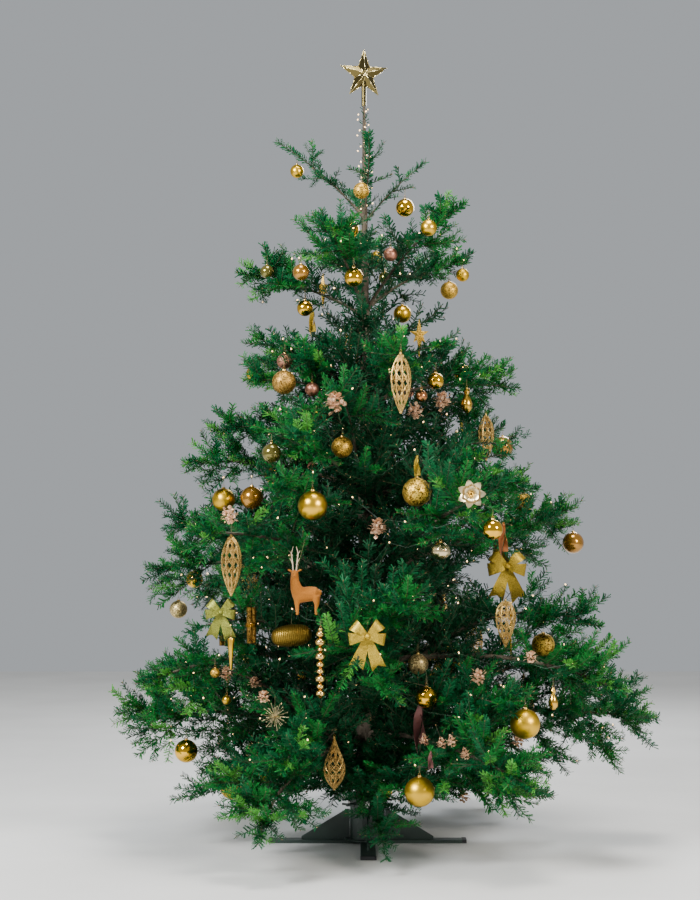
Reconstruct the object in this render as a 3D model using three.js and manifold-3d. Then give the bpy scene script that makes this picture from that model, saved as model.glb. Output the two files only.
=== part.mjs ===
// A cut fir dressed for the winter holidays, standing in a plain steel stand.
// Lengths are millimetres and angles are degrees. +Z is up, the front of the tree faces -Y, and the origin
// lies on the floor under the middle of the stand.
//
// The trunk runs up through the whole crown. Seven whorls of boughs leave it, one year's growth apart. A bough
// of the three lowest whorls, and of the open one near the top, is a bare limb for the first part of its line,
// and the mass of foliage that grows on from the limb's end follows the rest of the same line. In the other
// whorls the foliage starts at the trunk. Below the top whorl a mass forks near its root: one stem goes on along
// the bough's line, and the other climbs to the height between two whorls and levels out there, so the crown is
// full. Both stems bear pairs of sprays. A spray is a twig with its needles as one flat, toothed blade, whose
// teeth stand for the shoots that leave the twig.
import * as THREE from "three";
import { mergeVertices } from "three/addons/utils/BufferGeometryUtils.js";
import Module from "manifold-3d";

const wasm = await Module();
wasm.setup();

const CLEARANCE = 0.35; // between pieces that touch on the real tree
const UP = new THREE.Vector3(0, 0, 1);
const radians = THREE.MathUtils.degToRad;

// Trunk
const TRUNK_TOP_Z = 3292; // the tip of the leader, inside the star's socket
const TRUNK_TAPER_TOP_Z = 3420; // where the taper would reach the centre line
const TRUNK_BUTT_RADIUS = 50;
const TRUNK_TIP_RADIUS = 4.5; // added all the way up
const BUTT_SWELL = 8;
const BUTT_SWELL_HEIGHT = 70;
const TAPER_POWER = 1.12;
const LEAN_X = -14; // how far the tip stands off the foot
const SWAY_Y = 7;
const TRUNK_SIDES = 12;
const TRUNK_RINGS = 10;

// Whorls, from the lowest up. Lopsided is how much further the boughs on the right reach than the mean, bare is
// the share of the line that has no sprays, and pairs counts them on the rest. The second stem of a fork climbs
// forkRise steeper than the bough does there, and bears forkPairs pairs. A bough with none doesn't fork.
const FIRST_WHORL_Z = 450;
const FIRST_INTERNODE = 335;
const INTERNODE_GAIN = 18; // each year's growth is this much longer than the one below
const WHORLS = [
  { count: 6, turn: 0, reach: 1170, lopsided: 0.095, pitch: 9, tipPitch: -18, bare: 0.15, forkRise: 40 },
  { count: 5, turn: -18, reach: 1090, lopsided: 0.06, pitch: 18, tipPitch: -10, bare: 0.15, forkRise: 40 },
  { count: 5, turn: 18, reach: 1075, lopsided: 0, pitch: 24, tipPitch: -2, bare: 0.15, forkRise: 38 },
  { count: 5, turn: 34, reach: 830, lopsided: -0.01, pitch: 24, tipPitch: -4, forkRise: 36 },
  { count: 5, turn: 2, reach: 665, lopsided: 0.02, pitch: 30, tipPitch: -3, forkRise: 24 },
  { count: 5, turn: 32, reach: 560, lopsided: -0.04, pitch: 42, tipPitch: 12, bare: 0.4, forkRise: 17, pairs: 3 },
  { count: 4, turn: 6, reach: 325, lopsided: -0.18, pitch: 47, tipPitch: 27, pairs: 3, forkPairs: 0 },
].map((whorl) => ({ bare: 0, pairs: 4, forkPairs: 2, ...whorl }));

// Limbs and stems
const LIMB_THICKNESS = 0.0145; // a limb's radius at the trunk, as a share of its reach
const LIMB_TIP_THICKNESS = 0.2; // the stem's radius at its tip, as a share of the radius at the trunk
const LIMB_POWER = 0.8; // below 1, a limb tapers faster near the trunk
const LIMB_SIDES = 5;
const LIMB_RINGS = 1;
const STEM_SIDES = 3;
const STEM_RINGS = 3;
const LINE_STEPS = 14; // straight pieces that stand for a bough's line when distances are measured
const STEM_END = 0.94; // the end spray's blade covers the rest of the line
const SIDE_BEND = 9; // how far a bough's line may curve sideways
const AZIMUTH_SPREAD = 5;
const PITCH_SPREAD = 3;
const PITCH_TURNS = [8, -7, 2, 10, -9, -1]; // the boughs of a whorl rise by this much more, in turn
const REACH_SPREAD = 0.05;
const SEAT_SPREAD = 22; // boughs of one whorl leave the trunk at slightly different heights

// The climbing stem of a fork
const FORK_ROOT = 80; // how far past the start of the bough's foliage it leaves the bough
const FORK_TURN = 0.25; // how far round it stands, as a share of the space between two boughs of the whorl
const FORK_REACH = 0.87; // where it ends, as a share of the bough's reach
const FORK_DROOP = 6; // its tip points this much lower than the bough's
const FORK_THICKNESS = 0.75; // as a share of the bough's radius at the fork
const FORK_FIRST_SPRAY = 0.3; // where its sprays start

// Sprays
const SPRAY_SHARE = 0.54; // the longest spray, as a share of the reach
const LENGTH_LOSS = 0.68; // how much shorter the last spray is
const LENGTH_POWER = 0.9;
const LENGTH_SPREAD = 0.08;
const SPRAY_ANGLE = 58; // between the stem and its lowest sprays
const SPRAY_ANGLE_LOSS = 18; // and this much less at the stem's tip
const SPRAY_TILTS = [24, -16, -28, 34, 8, -40]; // above and below the plane of the bough, in turn
const TURN_SPREAD = 4; // of a spray's angle and tilt
const SPRAY_ROLL = 34; // the edge towards the bough's tip lies this much lower
const SPRAY_HALF_WIDTH = 0.4; // as a share of the step between pairs
const FIRST_SPRAY = 0.16; // where the sprays start on a bough with no bare part
const LAST_SPRAY = 0.97;
const NOTCH_DEPTH = 0.36; // a notch's half width, as a share of the spray's
const TOOTH_STEP = 260; // length of blade for each pair of teeth
const TOOTH_LEAN = 0.5; // how far a tooth points forward, as a share of its half width
const TOOTH_LOSS = 0.4; // how much narrower the last tooth is than the first
const RIDGE = 0.15; // height of the ridge, as a share of the half width there
const ROOT_SHARE = 0.6; // a spray's half width at its root, as a share of the stem's radius
const SHORTEST_SPRAY = 90;
const SHORTENING_STEP = 0.9; // a spray that leaves its space is tried again, this much shorter
const END_WIDTH = 0.7; // of the spray that ends a stem, as a share of the others'
const END_SPRAY = 0.84; // where on the line the spray that ends it has its root
const SPACE_MARGIN = 7; // what every spray keeps from the border of its own space
const FURTHEST = 1.01; // no spray goes further out than this share of the reach
const LOWEST_SPRAY_Z = 165;

// Star
const STAR_CENTRE_Z = 3378;
const STAR_RADIUS = 110;
const STAR_INNER_RADIUS = 43;
const STAR_HALF_DEPTH = 26;
const STAR_TURN = 12;
const SOCKET_RADIUS = 11;
const SOCKET_BOTTOM_Z = 3236;
const SOCKET_TOP_Z = 3350;

// Stand
const BAR_LENGTH = 860;
const BAR_WIDTH = 64;
const BAR_HEIGHT = 14;
const TUBE_RADIUS = 76;
const TUBE_WALL = 5;
const TUBE_HEIGHT = 190;
const FLANGE_RADIUS = 98;
const FLANGE_HEIGHT = 6;
const GUSSET_REACH = 190;
const GUSSET_HEIGHT = 130;
const GUSSET_THICKNESS = 8;
const BOLT_RADIUS = 7;
const BOLT_HEIGHT = 160; // of its centre line, above the cross
const BOLT_LENGTH = 66;
const BOLT_BAR_RADIUS = 5;
const BOLT_BAR_LENGTH = 74;
const TRUNK_CUT_Z = BAR_HEIGHT + CLEARANCE; // the trunk's flat cut rests on the cross

const bark = new THREE.MeshStandardMaterial({ color: 0x6b5844, roughness: 0.9, metalness: 0 });
const needles = new THREE.MeshStandardMaterial({ color: 0x14532d, roughness: 0.6, metalness: 0 });
const steel = new THREE.MeshStandardMaterial({ color: 0x1f2a24, roughness: 0.45, metalness: 0.6 });
const gold = new THREE.MeshStandardMaterial({ color: 0xc9a24b, roughness: 0.25, metalness: 1 });

// Numbers from 0 to 1 by a seeded rule, the same on every run.
function seeded(seed) {
  let state = Math.imul(seed, 2654435761) >>> 0;
  return () => {
    state = (Math.imul(state, 1664525) + 1013904223) >>> 0;
    return state / 4294967296;
  };
}

function point(x, y, z) {
  return new THREE.Vector3(x, y, z);
}

// A closed geometry as a solid that can be joined and cut.
function solid(geometry) {
  const bare = geometry.index ? geometry.toNonIndexed() : geometry.clone();
  bare.deleteAttribute("normal");
  bare.deleteAttribute("uv");
  const merged = mergeVertices(bare, 1e-4);
  return new wasm.Manifold(
    new wasm.Mesh({
      numProp: 3,
      vertProperties: new Float32Array(merged.attributes.position.array),
      triVerts: new Uint32Array(merged.index.array),
    }),
  );
}

function placed(geometry, x, y, z) {
  return solid(geometry.translate(x, y, z));
}

function joined(solids) {
  return solids.reduce((all, next) => all.add(next));
}

function meshOf(name, made, material) {
  const { numProp, vertProperties, triVerts } = made.getMesh();
  const positions = new Float32Array((vertProperties.length / numProp) * 3);
  for (let i = 0; i < positions.length / 3; i++)
    positions.set(vertProperties.subarray(i * numProp, i * numProp + 3), i * 3);
  const geometry = new THREE.BufferGeometry();
  geometry.setAttribute("position", new THREE.BufferAttribute(positions, 3));
  geometry.setIndex(new THREE.BufferAttribute(new Uint32Array(triVerts), 1));
  geometry.computeVertexNormals();
  const mesh = new THREE.Mesh(geometry, material);
  mesh.name = name;
  return mesh;
}

// A closed skin over rings of points that all have the same count. The first or last may be a single point.
function loft(rings) {
  const corners = [];
  const face = (a, b, c) => corners.push(...a.toArray(), ...b.toArray(), ...c.toArray());
  const first = rings[0];
  const last = rings.at(-1);
  for (let i = 1; i + 1 < first.length; i++) face(first[0], first[i + 1], first[i]);
  for (let i = 1; i + 1 < last.length; i++) face(last[0], last[i], last[i + 1]);
  for (let k = 0; k + 1 < rings.length; k++) {
    const low = rings[k];
    const high = rings[k + 1];
    const count = Math.max(low.length, high.length);
    for (let i = 0; i < count; i++) {
      const j = (i + 1) % count;
      if (low.length > 1) face(low[i], low[j], high[high.length > 1 ? j : 0]);
      if (high.length > 1) face(low[low.length > 1 ? i : 0], high[j], high[i]);
    }
  }
  const geometry = new THREE.BufferGeometry();
  geometry.setAttribute("position", new THREE.Float32BufferAttribute(corners, 3));
  return geometry;
}

// A ring of points round a centre, square to a direction and counter-clockwise about it.
function ring(centre, direction, radius, sides) {
  const along = direction.clone().normalize();
  const reference = Math.abs(along.z) > 0.9 ? point(1, 0, 0) : UP;
  const a = new THREE.Vector3().crossVectors(reference, along).normalize();
  const b = new THREE.Vector3().crossVectors(along, a);
  return Array.from({ length: sides }, (_, i) => {
    const turn = (2 * Math.PI * i) / sides;
    return centre
      .clone()
      .addScaledVector(a, radius * Math.cos(turn))
      .addScaledVector(b, radius * Math.sin(turn));
  });
}

function trunkCentre(z) {
  const share = z / TRUNK_TOP_Z;
  return point(LEAN_X * share, SWAY_Y * Math.sin(2 * Math.PI * share), z);
}

function trunkRadius(z) {
  const taper = TRUNK_BUTT_RADIUS * Math.max(1 - z / TRUNK_TAPER_TOP_Z, 0) ** TAPER_POWER;
  return TRUNK_TIP_RADIUS + taper + BUTT_SWELL * Math.exp(-z / BUTT_SWELL_HEIGHT);
}

// The trunk as a solid, or, with some extra on every side, what cuts its neighbours clear of it.
function trunkSolid(extra) {
  const rings = [];
  for (let k = 0; k <= TRUNK_RINGS; k++) {
    const share = (k / TRUNK_RINGS) ** 1.15;
    const z = TRUNK_CUT_Z + (TRUNK_TOP_Z - TRUNK_CUT_Z) * share;
    const end = k === 0 ? -extra : k === TRUNK_RINGS ? extra : 0;
    const centre = trunkCentre(z).add(point(0, 0, end));
    rings.push(ring(centre, UP, trunkRadius(z) + extra, TRUNK_SIDES));
  }
  return solid(loft(rings));
}

function whorlHeight(k) {
  return FIRST_WHORL_Z + FIRST_INTERNODE * k + (INTERNODE_GAIN * k * (k - 1)) / 2;
}

// Every bough of the tree. Its line is set by where it leaves the trunk, which way, how far and how steep, and
// its stems bear the sprays of its mass: the bough's own, and the one that climbs where it forks.
function listBoughs() {
  const boughs = [];
  WHORLS.forEach((whorl, k) => {
    for (let i = 0; i < whorl.count; i++) {
      const draw = seeded(1000 * (k + 1) + 37 * i + 5);
      const spread = () => 2 * draw() - 1;
      const azimuth = radians(whorl.turn + (360 * i) / whorl.count + AZIMUTH_SPREAD * spread());
      const reach =
        whorl.reach * (1 + whorl.lopsided * Math.cos(azimuth)) * (1 + REACH_SPREAD * spread());
      const rise = PITCH_TURNS[(i + k) % PITCH_TURNS.length];
      const bough = {
        label: `${k + 1}_${i + 1}`,
        whorl,
        draw,
        azimuth,
        reach,
        seat: trunkCentre(whorlHeight(k) + SEAT_SPREAD * spread()),
        pitch: radians(whorl.pitch + rise + PITCH_SPREAD * spread()),
        tipPitch: radians(whorl.tipPitch + rise + PITCH_SPREAD * spread()),
        bend: radians(SIDE_BEND * spread()),
        radius: LIMB_THICKNESS * reach + 1,
        start: whorl.bare ? whorl.bare + CLEARANCE / reach : 0,
        firstSpray: whorl.bare || FIRST_SPRAY,
        pairs: whorl.pairs,
      };
      bough.stems = whorl.forkPairs ? [bough, forkOf(bough)] : [bough];
      boughs.push(bough);
    }
  });
  return boughs;
}

// The stem that climbs where a bough forks, as a line of its own that leaves the bough's.
function forkOf(bough) {
  const { whorl, reach, draw } = bough;
  const spread = () => 2 * draw() - 1;
  const share = whorl.bare + FORK_ROOT / reach;
  const seat = stemPoint(bough, share);
  const turn = (FORK_TURN * 2 * Math.PI) / whorl.count;
  const pitchThere = bough.pitch + (bough.tipPitch - bough.pitch) * share;
  return {
    azimuth: bough.azimuth + turn * (1 + 0.3 * spread()),
    reach: (FORK_REACH - share) * reach * (1 + REACH_SPREAD * spread()),
    seat,
    pitch: pitchThere + radians(whorl.forkRise + PITCH_SPREAD * spread()),
    tipPitch: bough.tipPitch - radians(FORK_DROOP + PITCH_SPREAD * spread()),
    bend: radians(SIDE_BEND * spread()),
    radius: FORK_THICKNESS * boughRadius(bough, share),
    start: 0,
    firstSpray: FORK_FIRST_SPRAY,
    pairs: whorl.forkPairs,
  };
}

// The point at a share of a bough's line. The line bends evenly from its base pitch to its tip pitch.
function boughPoint(bough, share) {
  const { pitch, tipPitch, reach, azimuth, bend, seat } = bough;
  const turn = tipPitch - pitch;
  const length = (reach * turn) / (Math.sin(tipPitch) - Math.sin(pitch));
  const here = pitch + turn * share;
  const out = (length * (Math.sin(here) - Math.sin(pitch))) / turn;
  const rise = (length * (Math.cos(pitch) - Math.cos(here))) / turn;
  const way = azimuth + bend * share * share;
  return point(out * Math.cos(way), out * Math.sin(way), rise).add(seat);
}

function boughDirection(bough, share) {
  const step = 0.01;
  const from = boughPoint(bough, Math.max(share - step, 0));
  return boughPoint(bough, Math.min(share + step, 1)).sub(from).normalize();
}

function boughRadius(bough, share) {
  return bough.radius * (1 - (1 - LIMB_TIP_THICKNESS) * share ** LIMB_POWER);
}

// A stretch of a bough's line as a tapering limb with flat ends.
function limb(bough, from, to, sides, rings) {
  const made = [];
  for (let k = 0; k <= rings; k++) {
    const share = from + ((to - from) * k) / rings;
    const direction = boughDirection(bough, share);
    made.push(ring(boughPoint(bough, share), direction, boughRadius(bough, share), sides));
  }
  return solid(loft(made));
}

// The point at a share of a stem's line on its middle, which is straight between its rings.
function stemPoint(stem, share) {
  const step = (STEM_END - stem.start) / STEM_RINGS;
  const low = Math.min(Math.floor((share - stem.start) / step), STEM_RINGS - 1);
  const from = boughPoint(stem, stem.start + low * step);
  return from.lerp(boughPoint(stem, stem.start + (low + 1) * step), (share - stem.start) / step - low);
}

// How far a point is from a mass's stems.
function distanceTo(bough, p) {
  bough.lines ??= bough.stems.map((stem) =>
    Array.from({ length: LINE_STEPS + 1 }, (_, i) => boughPoint(stem, i / LINE_STEPS)),
  );
  const nearest = new THREE.Vector3();
  const piece = new THREE.Line3();
  let least = Infinity;
  for (const line of bough.lines)
    for (let i = 0; i < LINE_STEPS; i++) {
      piece.set(line[i], line[i + 1]).closestPointToPoint(p, true, nearest);
      least = Math.min(least, nearest.distanceTo(p));
    }
  return least;
}

// A mass keeps to the space that is nearer to its own stems than to any other, and to the crown's reach.
function inOwnSpace(bough, others, p) {
  const out = Math.hypot(p.x - bough.seat.x, p.y - bough.seat.y);
  if (out > FURTHEST * bough.reach || p.z < LOWEST_SPRAY_Z) return false;
  const own = distanceTo(bough, p);
  return others.every((other) => distanceTo(other, p) - own > SPACE_MARGIN);
}

// A twig with its needles: a narrow root, pairs of teeth with notches between them, and a tip, with a ridge
// along the top. The rings run counter-clockwise about the direction of the twig.
function sprayRings({ root, rootRadius, direction, roll, length, halfWidth }) {
  const side = new THREE.Vector3().crossVectors(direction, UP).normalize().applyAxisAngle(direction, roll);
  const crown = new THREE.Vector3().crossVectors(side, direction).normalize();
  const teeth = Math.max(1, Math.round(length / TOOTH_STEP));
  const station = (along, half, lean) => {
    const centre = root.clone().addScaledVector(direction, along);
    return [
      centre.clone().addScaledVector(side, -half).addScaledVector(direction, lean),
      centre.clone().addScaledVector(crown, RIDGE * half + ROOT_SHARE * rootRadius),
      centre.clone().addScaledVector(side, half).addScaledVector(direction, lean),
    ];
  };
  const rings = [station(0, ROOT_SHARE * rootRadius, 0)];
  const step = length / (teeth + 0.3);
  for (let i = 0; i < teeth; i++) {
    const half = halfWidth * (1 - (TOOTH_LOSS * i) / teeth);
    rings.push(station(step * (i + 0.5), half, TOOTH_LEAN * half));
    if (i + 1 < teeth) rings.push(station(step * (i + 0.95), NOTCH_DEPTH * half, 0));
  }
  rings.push([root.clone().addScaledVector(direction, length)]);
  return rings;
}

// The longest spray that stays in its mass's own space, or nothing where even the shortest would leave it.
function fittingSpray(bough, others, wanted) {
  for (let length = wanted.length; length > SHORTEST_SPRAY; length *= SHORTENING_STEP) {
    const spray = { ...wanted, length };
    const blade = sprayRings(spray).slice(1).flat();
    if (blade.every((p) => inOwnSpace(bough, others, p))) return spray;
  }
  return null;
}

// The sprays of one stem of a mass: pairs along it, and one that ends it.
function listSprays(stem, bough, others) {
  const { reach, firstSpray, pairs } = stem;
  const spread = () => 2 * bough.draw() - 1;
  const span = LAST_SPRAY - firstSpray;
  const halfWidth = (SPRAY_HALF_WIDTH * reach * span) / pairs;
  const sprays = [];
  for (let i = 0; i < 2 * pairs; i++) {
    const hand = i % 2 ? 1 : -1;
    const along = (i + 0.7) / (2 * pairs + 0.6);
    const share = firstSpray + span * along;
    const forward = boughDirection(stem, share);
    const sideways = new THREE.Vector3().crossVectors(UP, forward).normalize();
    const above = new THREE.Vector3().crossVectors(forward, sideways).normalize();
    const angle = radians(SPRAY_ANGLE - SPRAY_ANGLE_LOSS * along + TURN_SPREAD * spread());
    const tilt = radians(SPRAY_TILTS[i % SPRAY_TILTS.length] + TURN_SPREAD * spread());
    const direction = forward
      .clone()
      .multiplyScalar(Math.cos(angle) * Math.cos(tilt))
      .addScaledVector(sideways, hand * Math.sin(angle) * Math.cos(tilt))
      .addScaledVector(above, Math.sin(tilt))
      .normalize();
    const shortening = 1 - LENGTH_LOSS * along ** LENGTH_POWER;
    const wanted = {
      root: stemPoint(stem, share),
      rootRadius: boughRadius(stem, share),
      direction,
      roll: radians(-hand * SPRAY_ROLL),
      length: SPRAY_SHARE * reach * shortening * (1 + LENGTH_SPREAD * spread()),
      halfWidth,
    };
    const spray = fittingSpray(bough, others, wanted);
    if (spray) sprays.push(spray);
  }
  const root = stemPoint(stem, END_SPRAY);
  const toEnd = boughPoint(stem, 1).sub(root);
  sprays.push({
    root,
    rootRadius: boughRadius(stem, END_SPRAY),
    direction: toEnd.clone().normalize(),
    roll: 0,
    length: toEnd.length(),
    halfWidth: END_WIDTH * halfWidth,
  });
  return sprays;
}

// The foliage that grows on from a limb's end, or from the trunk where there is no limb.
function foliage(bough, others, trunkSpace) {
  const pieces = bough.stems.flatMap((stem) => [
    limb(stem, stem.start, STEM_END, STEM_SIDES, STEM_RINGS),
    ...listSprays(stem, bough, others).map((spray) => solid(loft(sprayRings(spray)))),
  ]);
  const made = joined(pieces);
  return bough.whorl.bare ? made : made.subtract(trunkSpace);
}

// A star with five points and a ridge down each, on a socket that slips over the leader.
function topStar(trunkSpace) {
  const centre = trunkCentre(STAR_CENTRE_Z);
  const outline = Array.from({ length: 10 }, (_, i) => {
    const radius = i % 2 ? STAR_INNER_RADIUS : STAR_RADIUS;
    const turn = Math.PI / 2 + (Math.PI * i) / 5;
    return point(radius * Math.cos(turn), 0, radius * Math.sin(turn));
  });
  const star = loft([[point(0, STAR_HALF_DEPTH, 0)], outline, [point(0, -STAR_HALF_DEPTH, 0)]]);
  star.rotateZ(radians(STAR_TURN));
  const height = SOCKET_TOP_Z - SOCKET_BOTTOM_Z;
  const socket = new THREE.CylinderGeometry(SOCKET_RADIUS, SOCKET_RADIUS, height, 12).rotateX(Math.PI / 2);
  return placed(star, centre.x, centre.y, centre.z)
    .add(placed(socket, centre.x, centre.y, SOCKET_BOTTOM_Z + height / 2))
    .subtract(trunkSpace);
}

// Two flat bars crossed on the floor, with a gusset on each arm that backs the tube.
function standCross() {
  const bars = [
    placed(new THREE.BoxGeometry(BAR_LENGTH, BAR_WIDTH, BAR_HEIGHT), 0, 0, BAR_HEIGHT / 2),
    placed(new THREE.BoxGeometry(BAR_WIDTH, BAR_LENGTH, BAR_HEIGHT), 0, 0, BAR_HEIGHT / 2),
  ];
  const foot = FLANGE_HEIGHT + 2 * CLEARANCE;
  const outline = new THREE.Shape();
  outline.moveTo(FLANGE_RADIUS + 2, -1);
  outline.lineTo(FLANGE_RADIUS + GUSSET_REACH, -1);
  outline.lineTo(FLANGE_RADIUS + GUSSET_REACH, 12);
  outline.lineTo(TUBE_RADIUS + 16, GUSSET_HEIGHT);
  outline.lineTo(TUBE_RADIUS + 1, GUSSET_HEIGHT);
  outline.lineTo(TUBE_RADIUS + 1, foot);
  outline.lineTo(FLANGE_RADIUS + 2, foot);
  const gussets = [0, 1, 2, 3].map((i) =>
    solid(
      new THREE.ExtrudeGeometry(outline, { depth: GUSSET_THICKNESS, bevelEnabled: false })
        .translate(0, 0, -GUSSET_THICKNESS / 2)
        .rotateX(Math.PI / 2)
        .translate(0, 0, BAR_HEIGHT)
        .rotateZ((i * Math.PI) / 2),
    ),
  );
  return joined([...bars, ...gussets]);
}

// The tube that holds the trunk, with its flange and four clamping bolts that end at the bark.
function standSocket(trunkSpace) {
  const floor = BAR_HEIGHT + CLEARANCE;
  const inner = TUBE_RADIUS - TUBE_WALL;
  const profile = [
    [inner, 0],
    [FLANGE_RADIUS, 0],
    [FLANGE_RADIUS, FLANGE_HEIGHT],
    [TUBE_RADIUS, FLANGE_HEIGHT],
    [TUBE_RADIUS, TUBE_HEIGHT],
    [inner, TUBE_HEIGHT],
    [inner, 0],
  ].map(([x, y]) => new THREE.Vector2(x, y));
  const tube = placed(new THREE.LatheGeometry(profile, 20).rotateX(Math.PI / 2), 0, 0, floor);
  const bolts = [0, 1, 2, 3].flatMap((i) => {
    const turn = ((i + 0.5) * Math.PI) / 2;
    const shank = new THREE.CylinderGeometry(BOLT_RADIUS, BOLT_RADIUS, BOLT_LENGTH, 6)
      .rotateZ(Math.PI / 2)
      .translate(TUBE_RADIUS + 18, 0, 0)
      .rotateZ(turn);
    const bar = new THREE.CylinderGeometry(BOLT_BAR_RADIUS, BOLT_BAR_RADIUS, BOLT_BAR_LENGTH, 6)
      .translate(TUBE_RADIUS + 40, 0, 0)
      .rotateZ(turn);
    const height = BAR_HEIGHT + BOLT_HEIGHT;
    return [placed(shank, 0, 0, height), placed(bar, 0, 0, height)];
  });
  return joined([tube, ...bolts]).subtract(trunkSpace);
}

const tree = new THREE.Group();
const trunkSpace = trunkSolid(CLEARANCE);
const boughs = listBoughs();

tree.add(meshOf("trunk", trunkSolid(0), bark));
tree.add(meshOf("stand_cross", standCross(), steel));
tree.add(meshOf("stand_socket", standSocket(trunkSpace), steel));
tree.add(meshOf("top_star", topStar(trunkSpace), gold));
for (const bough of boughs) {
  const others = boughs.filter((other) => other !== bough);
  if (bough.whorl.bare) {
    const made = limb(bough, 0, bough.whorl.bare, LIMB_SIDES, LIMB_RINGS).subtract(trunkSpace);
    tree.add(meshOf(`bough_${bough.label}`, made, bark));
  }
  tree.add(meshOf(`foliage_${bough.label}`, foliage(bough, others, trunkSpace), needles));
}

export default tree;
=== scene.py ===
import math
from collections import namedtuple

import bpy
import numpy as np
from mathutils import Matrix, Vector, noise


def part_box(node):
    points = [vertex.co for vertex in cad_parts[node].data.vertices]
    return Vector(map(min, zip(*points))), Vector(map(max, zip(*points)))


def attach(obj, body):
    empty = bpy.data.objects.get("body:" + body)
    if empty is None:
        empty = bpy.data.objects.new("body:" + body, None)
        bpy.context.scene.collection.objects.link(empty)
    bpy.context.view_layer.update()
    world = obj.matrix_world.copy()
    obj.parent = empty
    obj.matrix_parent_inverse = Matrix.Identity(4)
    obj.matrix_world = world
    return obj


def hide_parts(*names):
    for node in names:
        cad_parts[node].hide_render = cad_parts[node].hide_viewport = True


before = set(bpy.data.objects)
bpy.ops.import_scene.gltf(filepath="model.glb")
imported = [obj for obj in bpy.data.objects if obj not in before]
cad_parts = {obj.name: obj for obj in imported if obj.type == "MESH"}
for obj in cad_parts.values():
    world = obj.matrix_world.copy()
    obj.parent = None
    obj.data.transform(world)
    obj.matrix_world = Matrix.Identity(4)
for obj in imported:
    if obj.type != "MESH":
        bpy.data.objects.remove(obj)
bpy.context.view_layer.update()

UP = np.array([0.0, 0.0, 1.0])

# The rule of the plant, as in the part's source
TRUNK_CUT_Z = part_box("trunk")[0].z
TRUNK_TOP_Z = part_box("trunk")[1].z
TRUNK_TAPER_TOP_Z = 3.42
TRUNK_BUTT_RADIUS = 0.05
TRUNK_TIP_RADIUS = 0.0045
BUTT_SWELL = 0.008
BUTT_SWELL_HEIGHT = 0.07
TAPER_POWER = 1.12
LEAN_X = -0.014
SWAY_Y = 0.007

FIRST_WHORL_Z = 0.45
FIRST_INTERNODE = 0.335
INTERNODE_GAIN = 0.018
Whorl = namedtuple(
    "Whorl", "count turn reach lopsided pitch tip_pitch bare fork_rise pairs fork_pairs",
    defaults=(0, 0, 4, 2),
)
WHORLS = [
    Whorl(count=6, turn=0, reach=1.17, lopsided=0.095, pitch=9, tip_pitch=-18, bare=0.15, fork_rise=40),
    Whorl(count=5, turn=-18, reach=1.09, lopsided=0.06, pitch=18, tip_pitch=-10, bare=0.15, fork_rise=40),
    Whorl(count=5, turn=18, reach=1.075, lopsided=0, pitch=24, tip_pitch=-2, bare=0.15, fork_rise=38),
    Whorl(count=5, turn=34, reach=0.83, lopsided=-0.01, pitch=24, tip_pitch=-4, fork_rise=36),
    Whorl(count=5, turn=2, reach=0.665, lopsided=0.02, pitch=30, tip_pitch=-3, fork_rise=24),
    Whorl(
        count=5, turn=32, reach=0.56, lopsided=-0.04, pitch=42, tip_pitch=12, bare=0.4, fork_rise=17,
        pairs=3,
    ),
    Whorl(count=4, turn=6, reach=0.325, lopsided=-0.18, pitch=47, tip_pitch=27, pairs=3, fork_pairs=0),
]
LIMB_THICKNESS = 0.0145
LIMB_TIP_THICKNESS = 0.2
LIMB_POWER = 0.8
STEM_RINGS = 3
STEM_END = 0.94
LINE_STEPS = 14
CLEARANCE = 0.00035
SIDE_BEND = 9
AZIMUTH_SPREAD = 5
PITCH_SPREAD = 3
PITCH_TURNS = [8, -7, 2, 10, -9, -1]
REACH_SPREAD = 0.05
SEAT_SPREAD = 0.022
FORK_ROOT = 0.08
FORK_TURN = 0.25
FORK_REACH = 0.87
FORK_DROOP = 6
FORK_THICKNESS = 0.75
FORK_FIRST_SPRAY = 0.3
SPRAY_SHARE = 0.54
LENGTH_LOSS = 0.68
LENGTH_POWER = 0.9
LENGTH_SPREAD = 0.08
SPRAY_ANGLE = 58
SPRAY_ANGLE_LOSS = 18
SPRAY_TILTS = [24, -16, -28, 34, 8, -40]
TURN_SPREAD = 4
SPRAY_ROLL = 34
SPRAY_HALF_WIDTH = 0.4
FIRST_SPRAY = 0.16
LAST_SPRAY = 0.97
NOTCH_DEPTH = 0.36
TOOTH_STEP = 0.26
TOOTH_LEAN = 0.5
TOOTH_LOSS = 0.4
RIDGE = 0.15
ROOT_SHARE = 0.6
SHORTEST_SPRAY = 0.09
SHORTENING_STEP = 0.9
END_WIDTH = 0.7
END_SPRAY = 0.84
SPACE_MARGIN = 0.007
FURTHEST = 1.01
LOWEST_SPRAY_Z = 0.165


def unit(v):
    return v / np.linalg.norm(v)


def seeded(seed):
    """Numbers from 0 to 1 by the source's seeded rule, the same on every run."""
    state = (seed * 2654435761) & 0xFFFFFFFF
    while True:
        state = (state * 1664525 + 1013904223) & 0xFFFFFFFF
        yield state / 4294967296


def trunk_centre(z):
    share = z / TRUNK_TOP_Z
    return np.array([LEAN_X * share, SWAY_Y * math.sin(2 * math.pi * share), z])


def trunk_radius(z):
    taper = TRUNK_BUTT_RADIUS * max(1 - z / TRUNK_TAPER_TOP_Z, 0) ** TAPER_POWER
    return TRUNK_TIP_RADIUS + taper + BUTT_SWELL * math.exp(-z / BUTT_SWELL_HEIGHT)


def whorl_height(k):
    return FIRST_WHORL_Z + FIRST_INTERNODE * k + INTERNODE_GAIN * k * (k - 1) / 2


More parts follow.
